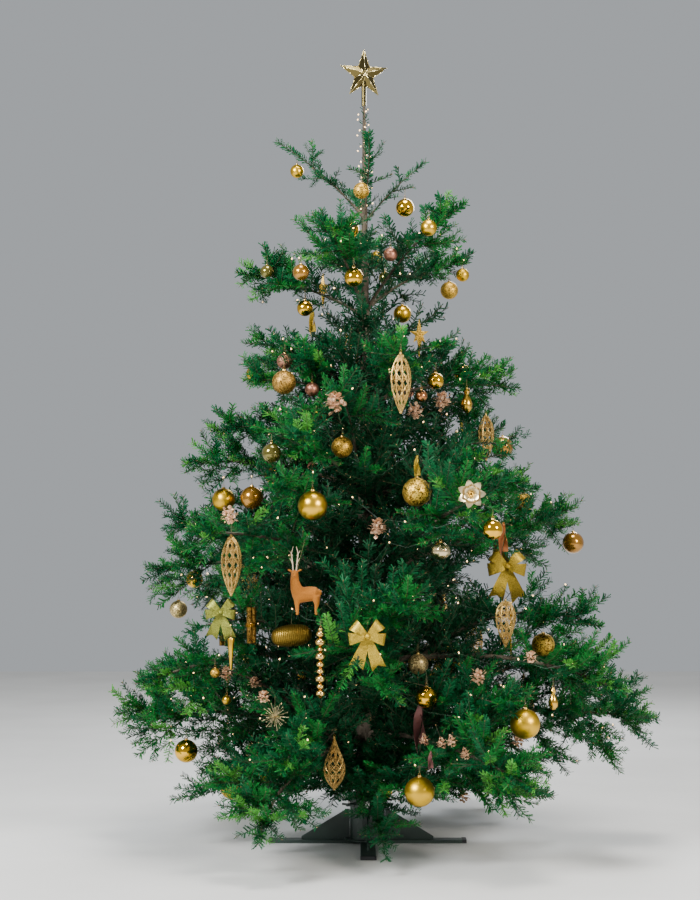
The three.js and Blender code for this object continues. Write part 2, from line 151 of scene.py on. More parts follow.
class Stem:
    """A line that bends evenly from its base pitch to its tip pitch, and bears sprays."""

    def __init__(self, draw, seat, azimuth, reach):
        self.draw = draw
        self.seat = seat
        self.azimuth = azimuth
        self.reach = reach
        self.start = 0

    def spread(self):
        return 2 * next(self.draw) - 1

    def point(self, share):
        turn = self.tip_pitch - self.pitch
        length = self.reach * turn / (math.sin(self.tip_pitch) - math.sin(self.pitch))
        here = self.pitch + turn * share
        out = length * (math.sin(here) - math.sin(self.pitch)) / turn
        rise = length * (math.cos(self.pitch) - math.cos(here)) / turn
        way = self.azimuth + self.bend * share * share
        return self.seat + np.array([out * math.cos(way), out * math.sin(way), rise])

    def direction(self, share):
        return unit(self.point(min(share + 0.01, 1)) - self.point(max(share - 0.01, 0)))

    def radius(self, share):
        return self.base_radius * (1 - (1 - LIMB_TIP_THICKNESS) * share**LIMB_POWER)

    def stem_point(self, share):
        step = (STEM_END - self.start) / STEM_RINGS
        low = min(math.floor((share - self.start) / step), STEM_RINGS - 1)
        start = self.point(self.start + low * step)
        end = self.point(self.start + (low + 1) * step)
        return start + (end - start) * ((share - self.start) / step - low)

    def frame(self, share):
        """The ways forward, sideways and above at a share of the stem."""
        forward = self.direction(share)
        sideways = unit(np.cross(UP, forward))
        return forward, sideways, unit(np.cross(forward, sideways))

    def line(self):
        return [self.point(j / LINE_STEPS) for j in range(LINE_STEPS + 1)]


class Bough(Stem):
    """One bough, its place on the trunk, and its stems: its own and the one that climbs where it forks."""

    def __init__(self, k, i):
        self.whorl = whorl = WHORLS[k]
        self.rank = k
        self.label = f"{k + 1}_{i + 1}"
        self.draw = seeded(1000 * (k + 1) + 37 * i + 5)
        azimuth = math.radians(whorl.turn + 360 * i / whorl.count + AZIMUTH_SPREAD * self.spread())
        reach = whorl.reach * (1 + whorl.lopsided * math.cos(azimuth)) * (1 + REACH_SPREAD * self.spread())
        rise = PITCH_TURNS[(i + k) % len(PITCH_TURNS)]
        seat = trunk_centre(whorl_height(k) + SEAT_SPREAD * self.spread())
        super().__init__(self.draw, seat, azimuth, reach)
        self.pitch = math.radians(whorl.pitch + rise + PITCH_SPREAD * self.spread())
        self.tip_pitch = math.radians(whorl.tip_pitch + rise + PITCH_SPREAD * self.spread())
        self.bend = math.radians(SIDE_BEND * self.spread())
        self.base_radius = LIMB_THICKNESS * reach + 0.001
        self.start = whorl.bare + CLEARANCE / reach if whorl.bare else 0
        self.first_spray = whorl.bare or FIRST_SPRAY
        self.pairs = whorl.pairs
        self.stems = [self, self.fork()] if whorl.fork_pairs else [self]

    def fork(self):
        share = self.whorl.bare + FORK_ROOT / self.reach
        turn = FORK_TURN * 2 * math.pi / self.whorl.count
        pitch_there = self.pitch + (self.tip_pitch - self.pitch) * share
        azimuth = self.azimuth + turn * (1 + 0.3 * self.spread())
        reach = (FORK_REACH - share) * self.reach * (1 + REACH_SPREAD * self.spread())
        stem = Stem(self.draw, self.stem_point(share), azimuth, reach)
        stem.pitch = pitch_there + math.radians(self.whorl.fork_rise + PITCH_SPREAD * self.spread())
        stem.tip_pitch = self.tip_pitch - math.radians(FORK_DROOP + PITCH_SPREAD * self.spread())
        stem.bend = math.radians(SIDE_BEND * self.spread())
        stem.base_radius = FORK_THICKNESS * self.radius(share)
        stem.first_spray = FORK_FIRST_SPRAY
        stem.pairs = self.whorl.fork_pairs
        return stem


BOUGHS = [Bough(k, i) for k, whorl in enumerate(WHORLS) for i in range(whorl.count)]
STEM_LINES = np.array([stem.line() for bough in BOUGHS for stem in bough.stems])
LINE_STARTS = STEM_LINES[:, :-1]
LINE_STRETCHES = STEM_LINES[:, 1:] - STEM_LINES[:, :-1]
FIRST_LINES = np.cumsum([0] + [len(bough.stems) for bough in BOUGHS[:-1]])


def distances(points):
    """How far each point is from each bough's stems, as rows of points."""
    from_start = points[:, None, None, :] - LINE_STARTS
    along = (from_start * LINE_STRETCHES).sum(-1) / (LINE_STRETCHES**2).sum(-1)
    nearest = from_start - np.clip(along, 0, 1)[..., None] * LINE_STRETCHES
    by_line = np.sqrt((nearest**2).sum(-1)).min(-1)
    return np.minimum.reduceat(by_line, FIRST_LINES, axis=1)


def in_own_space(index, points, furthest=FURTHEST, margin=SPACE_MARGIN):
    """Which points keep to the space that is nearer to their own bough's stems than to any other's."""
    bough = BOUGHS[index]
    points = np.atleast_2d(points)
    out = np.hypot(points[:, 0] - bough.seat[0], points[:, 1] - bough.seat[1])
    near = distances(points)
    apart = np.delete(near, index, axis=1).min(1) - near[:, index]
    return (out <= furthest * bough.reach) & (points[:, 2] >= LOWEST_SPRAY_Z) & (apart > margin)


Spray = namedtuple("Spray", "root root_radius direction roll length half_width", defaults=(0,))


def turned(v, axis, angle):
    return np.array(Matrix.Rotation(angle, 3, Vector(axis)) @ Vector(v))


def blade_points(spray):
    """The corners of a spray's blade in the source, past its root."""
    side = turned(unit(np.cross(spray.direction, UP)), spray.direction, spray.roll)
    crown = unit(np.cross(side, spray.direction))
    teeth = max(1, math.floor(spray.length / TOOTH_STEP + 0.5))
    points = []

    def station(along, half, lean):
        centre = spray.root + spray.direction * along
        points.append(centre - side * half + spray.direction * lean)
        points.append(centre + crown * (RIDGE * half + ROOT_SHARE * spray.root_radius))
        points.append(centre + side * half + spray.direction * lean)

    step = spray.length / (teeth + 0.3)
    for i in range(teeth):
        half = spray.half_width * (1 - TOOTH_LOSS * i / teeth)
        station(step * (i + 0.5), half, TOOTH_LEAN * half)
        if i + 1 < teeth:
            station(step * (i + 0.95), NOTCH_DEPTH * half, 0)
    points.append(spray.root + spray.direction * spray.length)
    return np.array(points)


def list_sprays(index, stem):
    """The sprays of one stem of a mass: pairs along it, and one that ends it."""
    span = LAST_SPRAY - stem.first_spray
    half_width = SPRAY_HALF_WIDTH * stem.reach * span / stem.pairs
    sprays = []
    for i in range(2 * stem.pairs):
        hand = 1 if i % 2 else -1
        along = (i + 0.7) / (2 * stem.pairs + 0.6)
        share = stem.first_spray + span * along
        forward, sideways, above = stem.frame(share)
        angle = math.radians(SPRAY_ANGLE - SPRAY_ANGLE_LOSS * along + TURN_SPREAD * stem.spread())
        tilt = math.radians(SPRAY_TILTS[i % len(SPRAY_TILTS)] + TURN_SPREAD * stem.spread())
        direction = unit(
            forward * math.cos(angle) * math.cos(tilt)
            + sideways * hand * math.sin(angle) * math.cos(tilt)
            + above * math.sin(tilt)
        )
        shortening = 1 - LENGTH_LOSS * along**LENGTH_POWER
        length = SPRAY_SHARE * stem.reach * shortening * (1 + LENGTH_SPREAD * stem.spread())
        while length > SHORTEST_SPRAY:
            spray = Spray(
                stem.stem_point(share), stem.radius(share), direction,
                math.radians(-hand * SPRAY_ROLL), length, half_width,
            )
            if in_own_space(index, blade_points(spray)).all():
                sprays.append(spray)
                break
            length *= SHORTENING_STEP
    root = stem.stem_point(END_SPRAY)
    to_end = stem.point(1) - root
    end_radius = stem.radius(END_SPRAY)
    sprays.append(Spray(root, end_radius, unit(to_end), 0, np.linalg.norm(to_end), END_WIDTH * half_width))
    return sprays


# The finer rule that grows on from the source's sprays. A spread is how far a value differs to either side
SHOOT_STEP = 0.084  # between pairs of shoots along a spray
SHOOT_STEP_SPREAD = 0.008
FIRST_SHOOT = 0.045
FIRST_SHOOT_SPREAD = 0.012
LAST_SHOOT = 0.012  # from the spray's end
SHOOT_STAGGER = 0.006  # the two shoots of a pair leave the spray this far apart
SHOOT_STAGGER_SPREAD = 0.004
SHOOT_ANGLE = 43
SHOOT_ANGLE_LOSS = 10  # towards the spray's end
SHOOT_ANGLE_SPREAD = 6
SHOOT_LENGTH_SPREAD = 0.16
SHOOT_RISE = 9  # how far out of its spray's plane a shoot points
SHOOT_TILT = 13  # and by how much that differs
UPPER_SHOOTS = 0.45  # how often a third shoot stands up between a pair
UPPER_SHOOT_SHARE = 0.85  # its length, as a share of theirs
UPPER_SHOOT_LEAN = 0.8  # how far forward it points
UPPER_SHOOT_SPREAD = 0.5
SHOOT_BASE_LENGTH = 0.11
SHOOT_SHARE = 0.33  # of what is left of the spray, added to a shoot's length
LONGEST_SHOOT = 0.24
SHORTEST_SHOOT = 0.075
END_SHOOT_SHARE = 0.9  # no shoot is longer than this share of what is left of its spray
STRAIGHT_BELOW = 0.1  # shorter shoots have no curl
SHOOT_OVERREACH = 0.01  # how far past the mass's reach they may end, as a share of it
SHOOT_MARGIN = 0.002
SIDE_SHOOT_FROM = 0.16  # shoots longer than this bear side shoots of their own
SIDE_SHOOT_SHARE = 0.42
SIDE_SHOOT_SPREAD = 0.15
SIDE_SHOOT_ANGLE = 50
SIDE_SHOOT_RISE = 0.05
SIDE_SHOOT_RISE_SPREAD = 0.2
SIDE_SHOOTS = ((0.34, 1), (0.4, -1))  # how far along, and on which side
TWIG_STEP = 0.085  # between the lesser twigs that leave a stem on all sides
DENSER = {0: 0.68, 5: 0.6}  # the whorls, counted from 0, in which they stand closer, and by what share
TWIG_SHARE = 0.4  # the longest of them, as a share of the stem's reach
TWIG_LENGTH_LOSS = 0.6  # towards the stem's end
TWIG_LENGTH_SPREAD = 0.2
TWIG_ANGLE = 52
TWIG_ANGLE_SPREAD = 8
TWIG_ROLL_SPREAD = 0.5
TWIG_ROOT_SHARE = 0.6  # of the stem's radius where it leaves it
TWIG_HEAD_START = 0.1  # how far before the stem's first spray they start
LAST_TWIG = 0.9
TWIG_TURN = 137.5  # each leaves the stem this far round from the one before it
TUFT_STEP = 0.085  # between the short shoots that leave a stem itself
TUFT_LENGTH = 0.12
TUFT_SHARE = 0.3  # of the stem's reach, the most that a tuft measures
TUFT_LENGTH_LOSS = 0.55
TUFT_LENGTH_SPREAD = 0.25
TUFT_ANGLE = 50
TUFT_ANGLE_SPREAD = 10
TUFT_RISES = ((5, 18), (55, 20))  # the two tufts of a pair, each with its spread
TUFT_HEAD_START = 0.04
LAST_TUFT = 0.97
OLD_SHADED_WOOD = 0.5  # up to this share of an older stem its needles are sparse and dark: older needles, darkened further with painted shade of the crown's inside
STEM_COAT_POINTS = 7
STEM_COAT_START = 0.2
FORK_COAT_START = 0.05
THIN_SIZE = 0.7  # of the youngest whorl's shoots and needles, beside the others'
YOUNG_WHORL = 5  # counted from 0: from here up the limbs bear needles and shoots right from the trunk
YOUNG_START = 0.1
TRUNK_TWIG_STEP = 0.03  # between the twigs that the trunk itself bears
LOW_TRUNK_TWIG_STEP = 0.019  # and between those above its lowest whorl
TRUNK_TWIG_STEP_SPREAD = 0.3
TRUNK_TWIG_SHARE = 0.62  # of the crown's reach at their height
TRUNK_TWIG_RISE = 28
TRUNK_TWIG_RISE_SPREAD = 14
TRUNK_TWIG_ROLL_SPREAD = 0.6
TRUNK_TWIG_RADIUS = 0.006
TRUNK_TWIGS_BELOW_Z = 2.25
TRUNK_ROOM = 0.03  # their shoots end at least this far from the trunk's axis
WHORL_ROOM = 0.03  # the trunk bears no twigs this near to a whorl
LOWEST_TWIG_Z = 0.26
LOWEST_TWIG_RISE = -9
LOWEST_TWIG_SHARE = 0.63
LOWEST_TWIG_STEP = 0.0092
GAP_CROWDING = 0.6  # the low trunk's twigs draw together between its boughs, to this share of the gap
SPRAY_LIFT = 0.05  # how far a spray's tip curls up, as a share of its length
SPRAY_LIFT_SPREAD = 0.04
SPRAY_STEPS = 8
SPRAY_ROOT_SHARE = 0.45  # of the radius of what bears it
SPRAY_GIRTH = 0.0022
SHOOT_GIRTH = 0.0018
TIP_GIRTH = 0.0012
NEEDLE_LENGTH = 0.0285
NEEDLE_SPREAD = 140  # how far round the shoot they stand, on either side of the sky
NEEDLE_LEAN = 52  # between a needle and its shoot
NEEDLE_LEAN_RANGE = (-0.16, 0.2)  # in radians, what is added to that for each needle
NEEDLE_LENGTH_RANGE = (0.8, 1.12)
NEEDLE_TWIST_RANGES = ((-0.2, 1.4), (-1, 1))  # how its flat side turns from the sky, outward and across
# A coat of needles. Their half widths at foot and end are shares of their length
Coat = namedtuple("Coat", "colour spacing length foot end", defaults=(0.00168, NEEDLE_LENGTH, 0.06, 0.08))
# Lit and shaded tones of one needle green: deep is painted shade for the crown's inside as well as older
# needles, and light, with part of fresh, is painted highlight on the lit outside as well as new growth
COATS = {
    "deep": Coat((0.001, 0.042, 0.013), spacing=0.0047, length=0.034, foot=0.068, end=0.105),
    "mid": Coat((0.0015, 0.074, 0.021)),
    "fresh": Coat((0.007, 0.124, 0.018)),
    "light": Coat((0.055, 0.25, 0.03)),
}
FRESHER_AND_LIT_OUTWARD = 1.5  # tones, from the trunk to the crown's outside: fresher growth outward, and painted highlight on the lit outside
TONE_SHIFT = -0.1
THIN_TONE_SHIFT = -0.7
TONE_SPREAD = 1.05
NEEDLE_SIZE_SPREAD = 0.1
STEM_NEEDLE_SIZE = 0.95
LEADER_NEEDLE_LENGTH = 0.017
LEADER_BARE_BELOW_Z = 2.79
LEADER_TOP_Z = 3.225
DEEP_WITHIN = 0.56  # shoots nearer to the trunk than this share of the reach are deep in tone: older needles, and painted shade of the crown's inside
LOWEST_DEEP_WITHIN = 0.2

# A line with its girth and its needles' size at each point. The bearer is the one that it grows on
Shoot = namedtuple("Shoot", "points girths sizes tone bearer", defaults=(None,))


def cut(line, part):
    """A stretch of a line."""
    return Shoot(line.points[part], line.girths[part], line.sizes[part], line.tone)


def curled(root, direction, length, lift, steps):
    """A line that starts straight and curls up, as points."""
    share = np.linspace(0, 1, steps + 1)[:, None]
    return root + direction * length * share + UP * lift * length * share**2


class Growth:
    """Twigs and shoots that follow the source's rule and are carried to finer ones."""

    deep_within = DEEP_WITHIN
    thin = False

    def __init__(self, index, rank, seed):
        self.index = index
        self.rank = rank
        self.bough = BOUGHS[index]
        self.random = np.random.default_rng(seed)
        self.twigs = []  # the sprays' own lines
        self.shoots = []
        self.coats = []  # the stretches of the sprays that bear needles
        self.stem_coats = []  # and those of the stems

    def around(self, middle, spread):
        return middle + spread * (2 * self.random.random() - 1)

    def fits(self, points, furthest=FURTHEST, margin=SPACE_MARGIN):
        return in_own_space(self.index, points, furthest, margin)

    def share_out(self, point):
        return np.hypot(point[0], point[1]) / self.bough.reach

    def scale(self):
        return THIN_SIZE if self.thin else 1

    def tone(self, share_out):
        """Outer growth is fresher and brighter, real new growth and painted highlight on the lit outside;
        the inner is deep in tone, older needles and painted shade under the layers above.
        """
        tones = list(COATS)
        if share_out < self.deep_within:
            return tones[0]
        shift = self.around(THIN_TONE_SHIFT if self.thin else TONE_SHIFT, TONE_SPREAD)
        return tones[int(np.clip(1 + FRESHER_AND_LIT_OUTWARD * share_out + shift, 1, len(tones) - 0.51))]

    def grow_spray(self, spray):
        side = turned(unit(np.cross(spray.direction, UP)), spray.direction, spray.roll)
        crown = unit(np.cross(side, spray.direction))
        lift = self.around(SPRAY_LIFT, SPRAY_LIFT_SPREAD)
        line = curled(spray.root, spray.direction, spray.length, lift, SPRAY_STEPS)
        root_girth = max(SPRAY_ROOT_SHARE * spray.root_radius, SPRAY_GIRTH)
        girths = np.linspace(root_girth, TIP_GIRTH, len(line))
        twig = Shoot(line, girths, np.full(len(line), self.around(1, 0.08) * self.scale()), "mid")
        self.twigs.append(twig)
        along = self.around(FIRST_SHOOT, FIRST_SHOOT_SPREAD)
        hand = 1
        found = []
        while along < spray.length - LAST_SHOOT:
            share = along / spray.length
            left = spray.length - along
            for this_hand in (hand, -hand):
                length = min(SHOOT_BASE_LENGTH + SHOOT_SHARE * left, LONGEST_SHOOT)
                length *= self.around(1, SHOOT_LENGTH_SPREAD) * self.scale()
                length = min(length, END_SHOOT_SHARE * left)
                if length < SHORTEST_SHOOT:
                    continue
                angle = math.radians(self.around(SHOOT_ANGLE - SHOOT_ANGLE_LOSS * share, SHOOT_ANGLE_SPREAD))
                tilt = math.radians(self.around(SHOOT_RISE, SHOOT_TILT))
                direction = (
                    spray.direction * math.cos(angle)
                    + side * this_hand * math.sin(angle)
                    + crown * math.tan(tilt)
                )
                root = spray.root + spray.direction * along + UP * lift * spray.length * share**2
                found.append((root, unit(direction), length))
                along += self.around(SHOOT_STAGGER, SHOOT_STAGGER_SPREAD)
                if this_hand == hand and self.random.random() < UPPER_SHOOTS:
                    aside = side * self.around(0, UPPER_SHOOT_SPREAD)
                    direction = spray.direction * UPPER_SHOOT_LEAN + crown + aside
                    found.append((root, unit(direction), UPPER_SHOOT_SHARE * length))
            along += self.around(SHOOT_STEP, SHOOT_STEP_SPREAD) - 2 * SHOOT_STAGGER
            hand = -hand
        self.add_shoots(found, crown, twig)

    def add_shoots(self, found, crown, twig=None):
        """Shoots within the mass's own space, or half as long where they reach out of it."""
        if not found:
            return
        roots = np.array([root for root, _, _ in found])
        tips = roots + np.array([direction * length for _, direction, length in found])
        inside = self.fits(tips, FURTHEST + SHOOT_OVERREACH, SHOOT_MARGIN)
        for (root, direction, length), fits in zip(found, inside):
            if not fits:
                length *= 0.5
                if length < SHORTEST_SHOOT:
                    continue
            shoot = self.add_shoot(root, direction, length, twig)
            if length > SIDE_SHOOT_FROM and self.share_out(root) > DEEP_WITHIN:
                self.add_side_shoots(shoot, root, direction, length, crown)

    def add_side_shoots(self, shoot, root, direction, length, crown):
        for share, hand in SIDE_SHOOTS:
            across = unit(np.cross(crown, direction)) * hand
            twist = math.radians(self.around(SIDE_SHOOT_ANGLE, TWIG_ANGLE_SPREAD))
            rise = crown * self.around(SIDE_SHOOT_RISE, SIDE_SHOOT_RISE_SPREAD)
            out = unit(direction * math.cos(twist) + across * math.sin(twist) + rise)
            side_length = SIDE_SHOOT_SHARE * length * self.around(1, SIDE_SHOOT_SPREAD)
            self.add_shoot(root + direction * length * share, out, side_length, shoot)

    def add_shoot(self, root, direction, length, bearer=None):
        steps = 2 if length > STRAIGHT_BELOW else 1
        line = curled(root, direction, length, self.around(SPRAY_LIFT, SPRAY_LIFT_SPREAD), steps)
        girths = np.linspace(SHOOT_GIRTH, TIP_GIRTH, len(line))
        sizes = np.array([1.0, 1.0, 0.75][-len(line):])
        sizes = sizes * self.around(0.98, NEEDLE_SIZE_SPREAD) * self.scale()
        shoot = Shoot(line, girths, sizes, self.tone(self.share_out(line[-1])), bearer)
        self.shoots.append(shoot)
        return shoot

    def coat_twigs(self):
        """Needles on the sprays' own lines, in stretches that each take a tone."""
        for twig in self.twigs:
            for start in range(0, len(twig.points) - 1, 3):
                part = slice(start, start + 4)
                tone = self.tone(self.share_out(twig.points[part][-1]))
                self.coats.append(cut(twig, part)._replace(tone=tone))


class MassGrowth(Growth):
    """The growth of one mass: its sprays, the lesser twigs between them, and tufts."""

    def __init__(self, index):
        super().__init__(index, BOUGHS[index].rank, 7000 + index)
        self.thin = self.rank == len(WHORLS) - 1  # the youngest whorl has short needles and few shoots
        self.young = self.rank >= YOUNG_WHORL
        for stem in self.bough.stems:
            for spray in list_sprays(index, stem):
                self.grow_spray(spray)
        for stem in self.bough.stems:
            if not self.thin:
                self.grow_lesser_twigs(stem)
            self.grow_tufts(stem)
            self.coat_stem(stem)

    def grow_lesser_twigs(self, stem):
        """Twigs that fill the mass above and below its sprays, each within the mass's own space."""
        share = YOUNG_START if self.young else stem.first_spray - TWIG_HEAD_START
        turn = 0
        while share < LAST_TWIG:
            forward, sideways, above = stem.frame(share)
            radial = sideways * math.cos(turn) + above * math.sin(turn)
            angle = math.radians(self.around(TWIG_ANGLE, TWIG_ANGLE_SPREAD))
            direction = unit(forward * math.cos(angle) + radial * math.sin(angle))
            length = TWIG_SHARE * stem.reach * (1 - TWIG_LENGTH_LOSS * share)
            length *= self.around(1, TWIG_LENGTH_SPREAD)
            root = stem.point(share)
            while length > SHORTEST_SPRAY and not self.fits(root + direction * length).all():
                length *= SHORTENING_STEP
            if length > SHORTEST_SPRAY:
                roll = self.around(0, TWIG_ROLL_SPREAD)
                self.grow_spray(Spray(root, TWIG_ROOT_SHARE * stem.radius(share), direction, roll, length))
            share += TWIG_STEP * DENSER.get(self.rank, 1) / stem.reach
            turn += math.radians(TWIG_TURN)

    def grow_tufts(self, stem):
        """Short shoots that leave a stem itself."""
        share = YOUNG_START if self.young else stem.first_spray - TUFT_HEAD_START
        hand = 1
        found = []
        while share < LAST_TUFT:
            forward, sideways, above = stem.frame(share)
            rises = [math.radians(self.around(*rise)) for rise in TUFT_RISES]
            for rise in rises[:1 if self.thin else 2]:
                angle = math.radians(self.around(TUFT_ANGLE, TUFT_ANGLE_SPREAD))
                direction = (
                    forward * math.cos(angle)
                    + sideways * hand * math.sin(angle) * math.cos(rise)
                    + above * math.sin(angle) * math.sin(rise)
                )
                length = min(TUFT_LENGTH, TUFT_SHARE * stem.reach) * (1.05 - TUFT_LENGTH_LOSS * share)
                length *= self.around(1, TUFT_LENGTH_SPREAD)
                found.append((stem.point(share), unit(direction), length))
                hand = -hand
            share += TUFT_STEP / stem.reach
        self.add_shoots(found, UP)

    def coat_stem(self, stem):
        """The needles on a stem itself."""
        first = FORK_COAT_START
        if self.young:
            first = YOUNG_START
        elif stem is self.bough:
            first = max(self.bough.whorl.bare, STEM_COAT_START)
        # the inner part of an older stem takes the deep tone: older needles, and painted shade of the
        # crown's inside
        for low, high, tone in ((first, OLD_SHADED_WOOD, "mid" if self.young else "deep"), (OLD_SHADED_WOOD, 1, "mid")):
            shares = np.linspace(low, high, STEM_COAT_POINTS)
            points = np.array([stem.point(share) for share in shares])
            girths = np.array([stem.radius(min(share, STEM_END)) for share in shares])
            sizes = np.full(STEM_COAT_POINTS, STEM_NEEDLE_SIZE)
            self.stem_coats.append(Shoot(points, girths, sizes, tone))


class TrunkGrowth(Growth):
    """The lesser twigs that the trunk bears between two whorls, all round it."""

    def __init__(self, index, rank, low, high, step, middle_rise, share):
        super().__init__(index, rank, 9000 + index)
        self.deep_within = DEEP_WITHIN if low > FIRST_WHORL_Z else LOWEST_DEEP_WITHIN
        turn = self.around(math.pi, math.pi)
        z = low
        while z < high:
            rise = math.radians(self.around(middle_rise, TRUNK_TWIG_RISE_SPREAD))
            way = self.between_boughs(turn) if self.bough.rank == 0 else turn
            out = np.array([math.cos(way), math.sin(way), 0])
            direction = out * math.cos(rise) + UP * math.sin(rise)
            root = trunk_centre(z) + out * 0.5 * trunk_radius(z)
            length = share * self.reach_at(z) * self.around(1, TWIG_LENGTH_SPREAD)
            roll = self.around(0, TRUNK_TWIG_ROLL_SPREAD)
            self.grow_spray(Spray(root, TRUNK_TWIG_RADIUS, direction, roll, length))
            z += step * self.around(1, TRUNK_TWIG_STEP_SPREAD)
            turn += math.radians(TWIG_TURN)

    def between_boughs(self, turn):
        """A way round the trunk, drawn towards the middle of the gap between two of the lowest boughs."""
        gap = 2 * math.pi / WHORLS[0].count
        past = turn % gap
        return turn - past + gap / 2 + GAP_CROWDING * (past - gap / 2)

    def reach_at(self, z):
        heights = [whorl_height(k) for k in range(len(WHORLS))]
        return float(np.interp(z, heights, [whorl.reach for whorl in WHORLS]))

    def fits(self, points, furthest=FURTHEST, margin=SPACE_MARGIN):
        points = np.atleast_2d(points)
        return (np.hypot(points[:, 0], points[:, 1]) > TRUNK_ROOM) & (points[:, 2] > LOWEST_SPRAY_Z)


def drop(*objects):
    for o in objects:
        bpy.data.objects.remove(o)


def linked(name, data):
    """A new object in the scene."""
    made = bpy.data.objects.new(name, data)
    bpy.context.scene.collection.objects.link(made)
    return made


def evaluated(piece):
    """The mesh that a piece's modifiers make of it."""
    graph = bpy.context.evaluated_depsgraph_get()
    return bpy.data.meshes.new_from_object(piece.evaluated_get(graph), depsgraph=graph)


def mesh_object(name, vertices, faces=(), edges=()):
    mesh = bpy.data.meshes.new(name)
    mesh.from_pydata([tuple(map(float, v)) for v in vertices], edges, faces)
    return linked(name, mesh)


def skeleton(name, shoots):
    """Shoots as one mesh of edges, with their girth and their needles' size at each point."""
    edges = []
    start = 0
    for shoot in shoots:
        count = len(shoot.points)
        edges += [(i, i + 1) for i in range(start, start + count - 1)]
        start += count
    made = mesh_object(name, np.concatenate([s.points for s in shoots]), edges=edges)
    for attribute, values in (("girth", [s.girths for s in shoots]), ("size", [s.sizes for s in shoots])):
        field = made.data.attributes.new(attribute, "FLOAT", "POINT")
        field.data.foreach_set("value", np.concatenate(values).astype(np.float32))
    return made


class Nodes:
    """A node tree that grows by add()."""

    def add(self, kind, settings=None, inputs=None):
        """A node with its settings, and its inputs as plain values or as what they are linked to."""
        node = self.tree.nodes.new(kind)
        for label, value in (settings or {}).items():
            setattr(node, label, value)
        for label, value in (inputs or {}).items():
            self.give(node.inputs[label], value)
        return node

    def give(self, target, value):
        if isinstance(value, bpy.types.Node):
            value = value.outputs[0]
        if isinstance(value, Value):
            value = value.socket
        if isinstance(value, bpy.types.NodeSocket):
            self.tree.links.new(value, target)
        else:
            target.default_value = value


class Tree(Nodes):
    """A Geometry Nodes tree with named inputs."""

    KINDS = {
        "Object": "NodeSocketObject",
        "Material": "NodeSocketMaterial",
        "Seed": "NodeSocketInt",
        "Sides": "NodeSocketInt",
    }

    def __init__(self, name, *inputs):
        self.tree = bpy.data.node_groups.new(name, "GeometryNodeTree")
        self.sockets = {}
        self.tree.interface.new_socket("Geometry", in_out="INPUT", socket_type="NodeSocketGeometry")
        for label in inputs:
            kind = self.KINDS.get(label, "NodeSocketFloat")
            socket = self.tree.interface.new_socket(label, in_out="INPUT", socket_type=kind)
            self.sockets[label] = socket.identifier
        self.tree.interface.new_socket("Geometry", in_out="OUTPUT", socket_type="NodeSocketGeometry")
        self.given = self.tree.nodes.new("NodeGroupInput")
        self.result = self.tree.nodes.new("NodeGroupOutput")

    def __getitem__(self, label):
        return self.given.outputs[label]

    def vector(self, operation, *values):
        names = [0, 1] if operation != "SCALE" else [0, "Scale"]
        node = self.add("ShaderNodeVectorMath", {"operation": operation}, dict(zip(names, values)))
        return node.outputs["Value" if operation == "DOT_PRODUCT" else "Vector"]

    def number(self, operation, *values):
        return self.add("ShaderNodeMath", {"operation": operation}, dict(enumerate(values))).outputs[0]

    def attribute(self, name):
        node = self.add("GeometryNodeInputNamedAttribute", {"data_type": "FLOAT"}, {"Name": name})
        return node.outputs["Attribute"]

    def random(self, low, high, seed):
        node = self.add("FunctionNodeRandomValue", {"data_type": "FLOAT"})
        node.inputs[2].default_value = low
        node.inputs[3].default_value = high
        self.tree.links.new(self.number("ADD", self["Seed"], seed), node.inputs["Seed"])
        return node.outputs[1]

    def place(self, points, rotation, size, **more):
        """Puts the given object on each point, and that is the tree's result."""
        shape = self.add("GeometryNodeObjectInfo", None, {"Object": self["Object"]})
        inputs = {"Points": points, "Rotation": rotation, "Scale": size, **more}
        inputs["Instance"] = shape.outputs["Geometry"]
        self.end(self.add("GeometryNodeInstanceOnPoints", None, inputs))

    def end(self, geometry):
        """Realizes the instances and sets the material, and that is the tree's result."""
        real = self.add("GeometryNodeRealizeInstances", None, {"Geometry": geometry})
        done = self.add("GeometryNodeSetMaterial", None, {"Geometry": real, "Material": self["Material"]})
        self.tree.links.new(done.outputs[0], self.result.inputs[0])

    def grow(self, name, base, **inputs):
        """Runs the tree on an object and gives the result as a plain mesh object of its own."""
        modifier = base.modifiers.new(name, "NODES")
        modifier.node_group = self.tree
        for label, value in inputs.items():
            modifier[self.sockets[label]] = value
        mesh = evaluated(base)
        mesh.name = name
        base.modifiers.remove(modifier)
        return linked(name, mesh)


